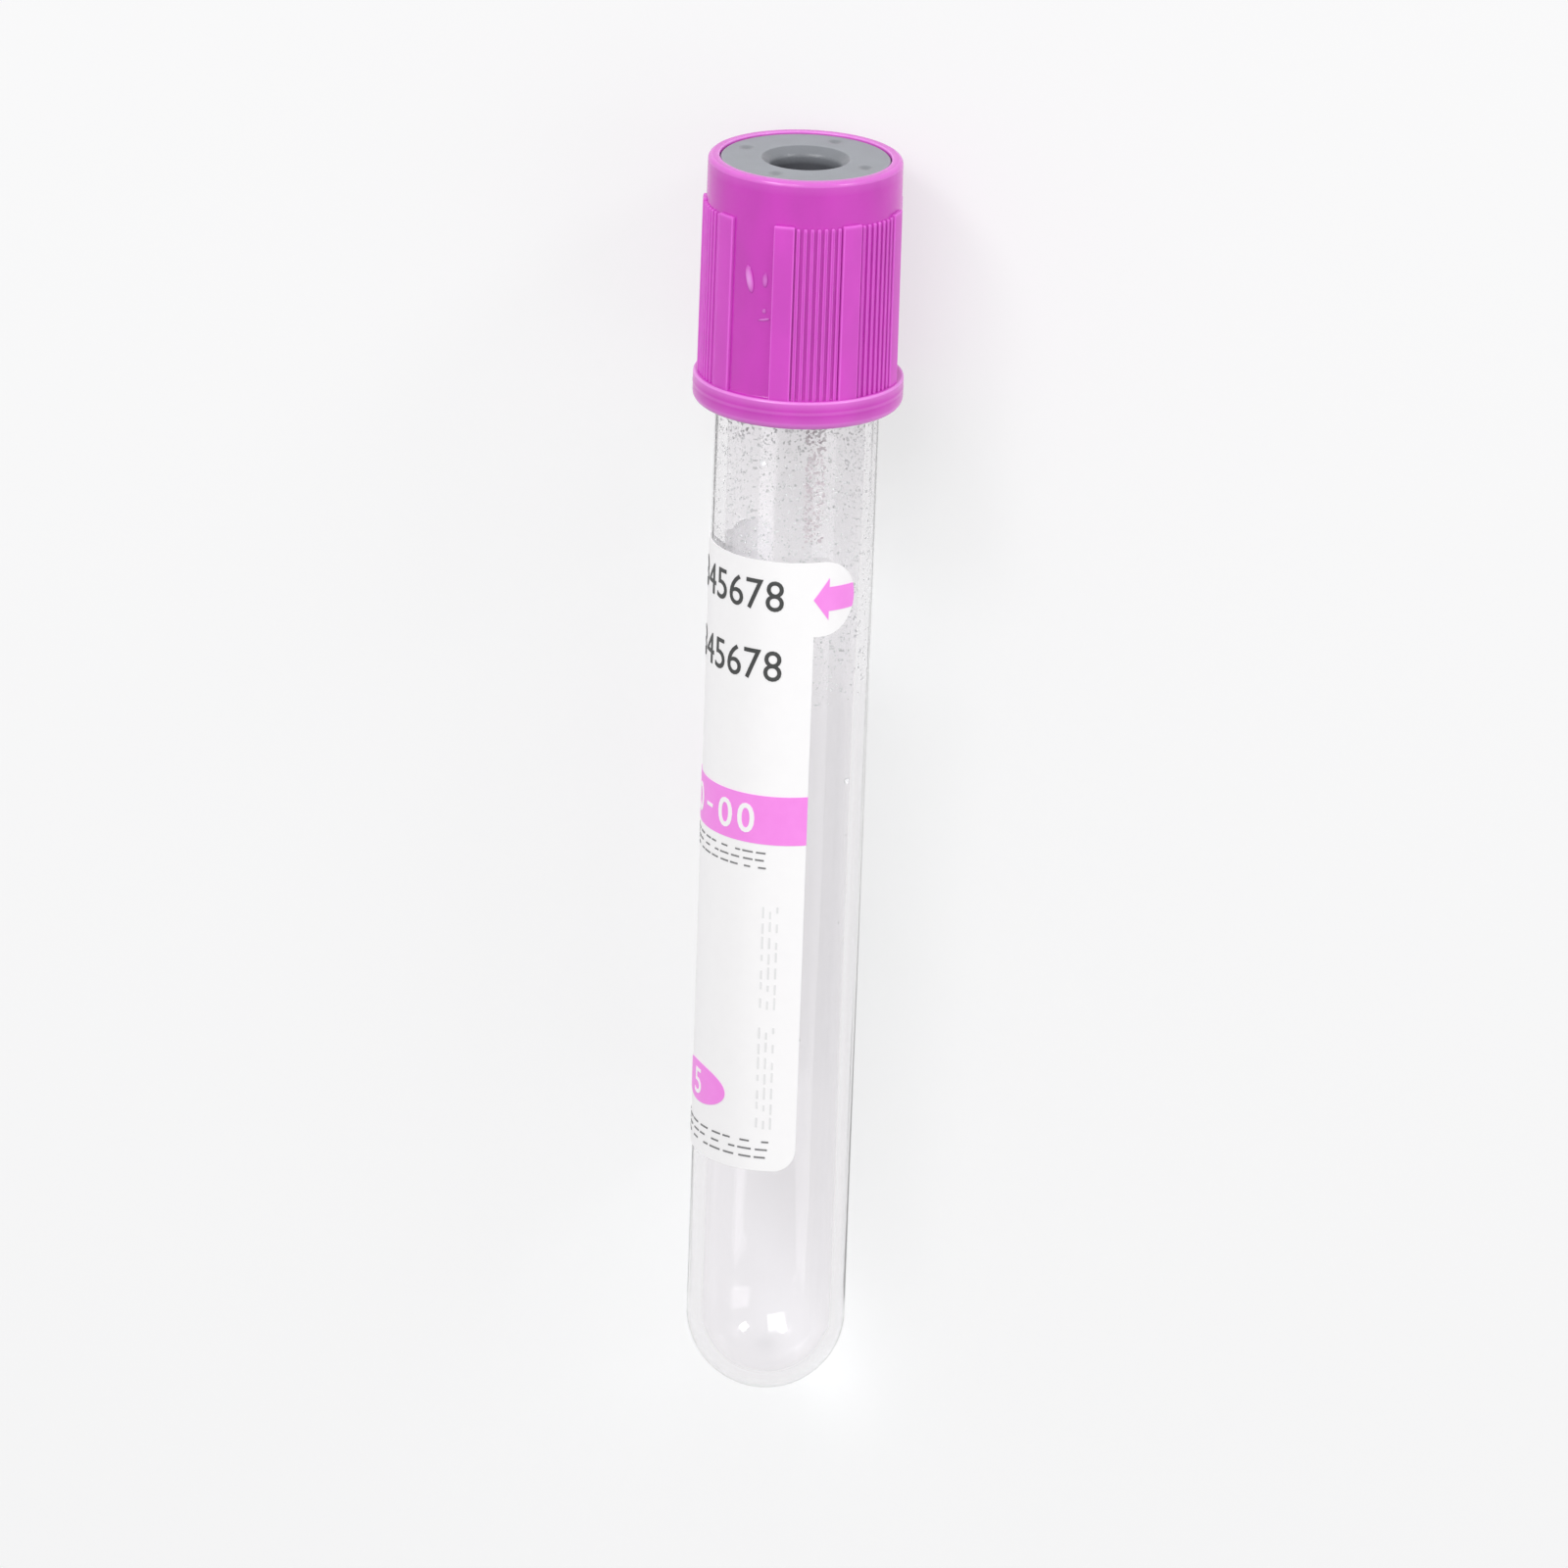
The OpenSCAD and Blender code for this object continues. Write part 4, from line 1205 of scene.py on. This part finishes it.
fine_print = [outline for ml in MARKS for outline in number_outlines(
    str(ml), MARK_W - ML_NUMBER_INSET, fill_z(ml) + MARK_H / 2 + ML_NUMBER_LIFT, ML_NUMBER_H)]
fine_print += print_along(LINE_LEFT, label_top - LINE_DROP, count=13, pitch=1.13, width=0.92,
                          height=1.4, thin=0.13)
fine_print += print_along(FOOT_LINE_LEFT, label_z + FOOT_LINE_RISE, count=11, pitch=1.42,
                          width=1.15, height=1.5, thin=0.14)
printed("label_fine_print", fine_print, grey_ink)

columns = [(LABEL_W - COLUMN_INSET, rise, 7) for rise in COLUMN_RISES]
columns.append((COLUMN_LEFT, LEFT_COLUMN_RISE, 10))
pale_print = [outline for s, rise, count in columns
              for outline in print_along(s, label_z + rise, count, pitch=1.3, width=1.05,
                                         height=1.3, thin=0.16, turned_up=True)]
printed("label_pale_print", pale_print, pale_ink)

# %% The row on the band
ROW_LEFT, ROW_PITCH, ROW_COUNT, ROW_DASH = 3.5, 2.03, 7, 4     # a dash takes one zero's place
ZERO_H, DASH_W, DASH_H = 2.5, 0.95, 0.3

band_print = [outline for i in range(ROW_COUNT) if i != ROW_DASH
              for outline in number_outlines("0", ROW_LEFT + i * ROW_PITCH, band_z, ZERO_H,
                                             squeeze=0.95, weight=0.012)]
band_print.append(oblong(ROW_LEFT + ROW_DASH * ROW_PITCH, band_z, DASH_W, DASH_H))
printed("label_band_print", band_print, paper, lift=OVERPRINT)

# %% [markdown]
# ## Floor, lights and camera
# The tube lies on a pale floor under soft light. Lamps and world stay at a plain level, at which a
# colour renders about as it is written. The white around the object comes from the floor and the
# world themselves: a camera, a mirror or a glass wall sees them nearly white, while what lights the
# object is only the plain grey world and the lamps. The floor keeps part of its own shading, so the
# object's shadow stays.

# %% Floor and world
FLOOR_HALF = 3.0                    # metres
FLOOR_GLOW = 0.62                   # share of the floor that shines where it is seen directly
SKY_LIGHT, SKY_SEEN = 0.5, 0.5      # the world's light, and what is added where it is seen


def seen_directly(tree):
    """1 where a ray comes from the camera, a reflection or a clear wall."""
    path = add(tree, "ShaderNodeLightPath").outputs
    seen = math_of(tree, "MAXIMUM", path["Is Camera Ray"], path["Is Glossy Ray"])
    return math_of(tree, "MAXIMUM", seen, path["Is Transmission Ray"])


def pale_floor():
    made, tree, shader = finish("pale_floor", base_color=(0.82, 0.82, 0.83, 1), roughness=0.8)
    glow = add(tree, "ShaderNodeEmission", {"Color": (1, 1, 1, 1), "Strength": 1.0})
    blend_in(tree, shader, glow, math_of(tree, "MULTIPLY", seen_directly(tree), FLOOR_GLOW))
    return made


floor_corners = [(x * FLOOR_HALF, y * FLOOR_HALF, 0) for x, y in ((-1, -1), (1, -1), (1, 1), (-1, 1))]
floor = object_from("floor", floor_corners, [(0, 1, 2, 3)])
floor.data.materials.append(pale_floor())

world = bpy.data.worlds.new("studio")
world.use_nodes = True
bpy.context.scene.world = world
sky = world.node_tree.nodes["Background"]
sky.inputs["Color"].default_value = (1, 1, 1, 1)
brightness = math_of(world.node_tree, "MULTIPLY_ADD", seen_directly(world.node_tree), SKY_SEEN,
                     SKY_LIGHT)
world.node_tree.links.new(brightness, sky.inputs["Strength"])
print("floor half width", FLOOR_HALF, "m")

# %% Lamps
def lamp(name, direction, distance, width, power, mirrored=True):
    """A square soft lamp that faces the object's middle, and may show in what is glossy."""
    data = bpy.data.lights.new(name, "AREA")
    data.shape, data.size, data.energy = "SQUARE", width, power
    obj = object_with(name, data)
    obj.visible_glossy = mirrored
    direction = direction.normalized()
    obj.location = middle + direction * distance
    obj.rotation_euler = direction.to_track_quat("Z", "Y").to_euler()


middle = lay_down @ Vector((0, 0, cap_top / 2))
reading = (math.cos(REST_TURN) * straight_up + math.sin(REST_TURN) * reader_right).normalized()
left = axis_up.cross(reading).normalized() * -1
lamp("key", reading + 0.9 * axis_up + 0.5 * left, distance=0.9, width=0.5, power=2.9)
lamp("fill", reading - 0.2 * axis_up - 1.2 * left, distance=0.9, width=0.6, power=1.5,
     mirrored=False)
for name, direction in (("rim_left", 0.5 * reading + 0.52 * left + 0.72 * axis_up),
                        ("rim_right", 0.45 * reading - 0.68 * left + 0.7 * axis_up)):
    lamp(name, direction, distance=0.7, width=0.14, power=0.9)
print("reading side points", [round(v, 3) for v in reading])

# %% Camera
VIEW_RISE, VIEW_ROLL = math.radians(20.4), math.radians(2)
VIEW_DISTANCE, VIEW_SPAN = 0.7, 0.126    # metres: to the object, and seen across there

back = math.cos(VIEW_RISE) * reading + math.sin(VIEW_RISE) * axis_up
image_right = axis_up.cross(back).normalized()
image_up = back.cross(image_right)
camera_data = bpy.data.cameras.new("camera")
camera_data.lens = camera_data.sensor_width * VIEW_DISTANCE / VIEW_SPAN
camera = object_with("camera", camera_data)
turned = Matrix((image_right, image_up, back)).transposed().to_4x4()
camera.matrix_world = (Matrix.Translation(middle + back * VIEW_DISTANCE) @ turned
                       @ Matrix.Rotation(VIEW_ROLL, 4, "Z"))
bpy.context.scene.camera = camera
bpy.context.scene.view_settings.view_transform = "Standard"
print("lens", round(camera_data.lens, 1), "mm")
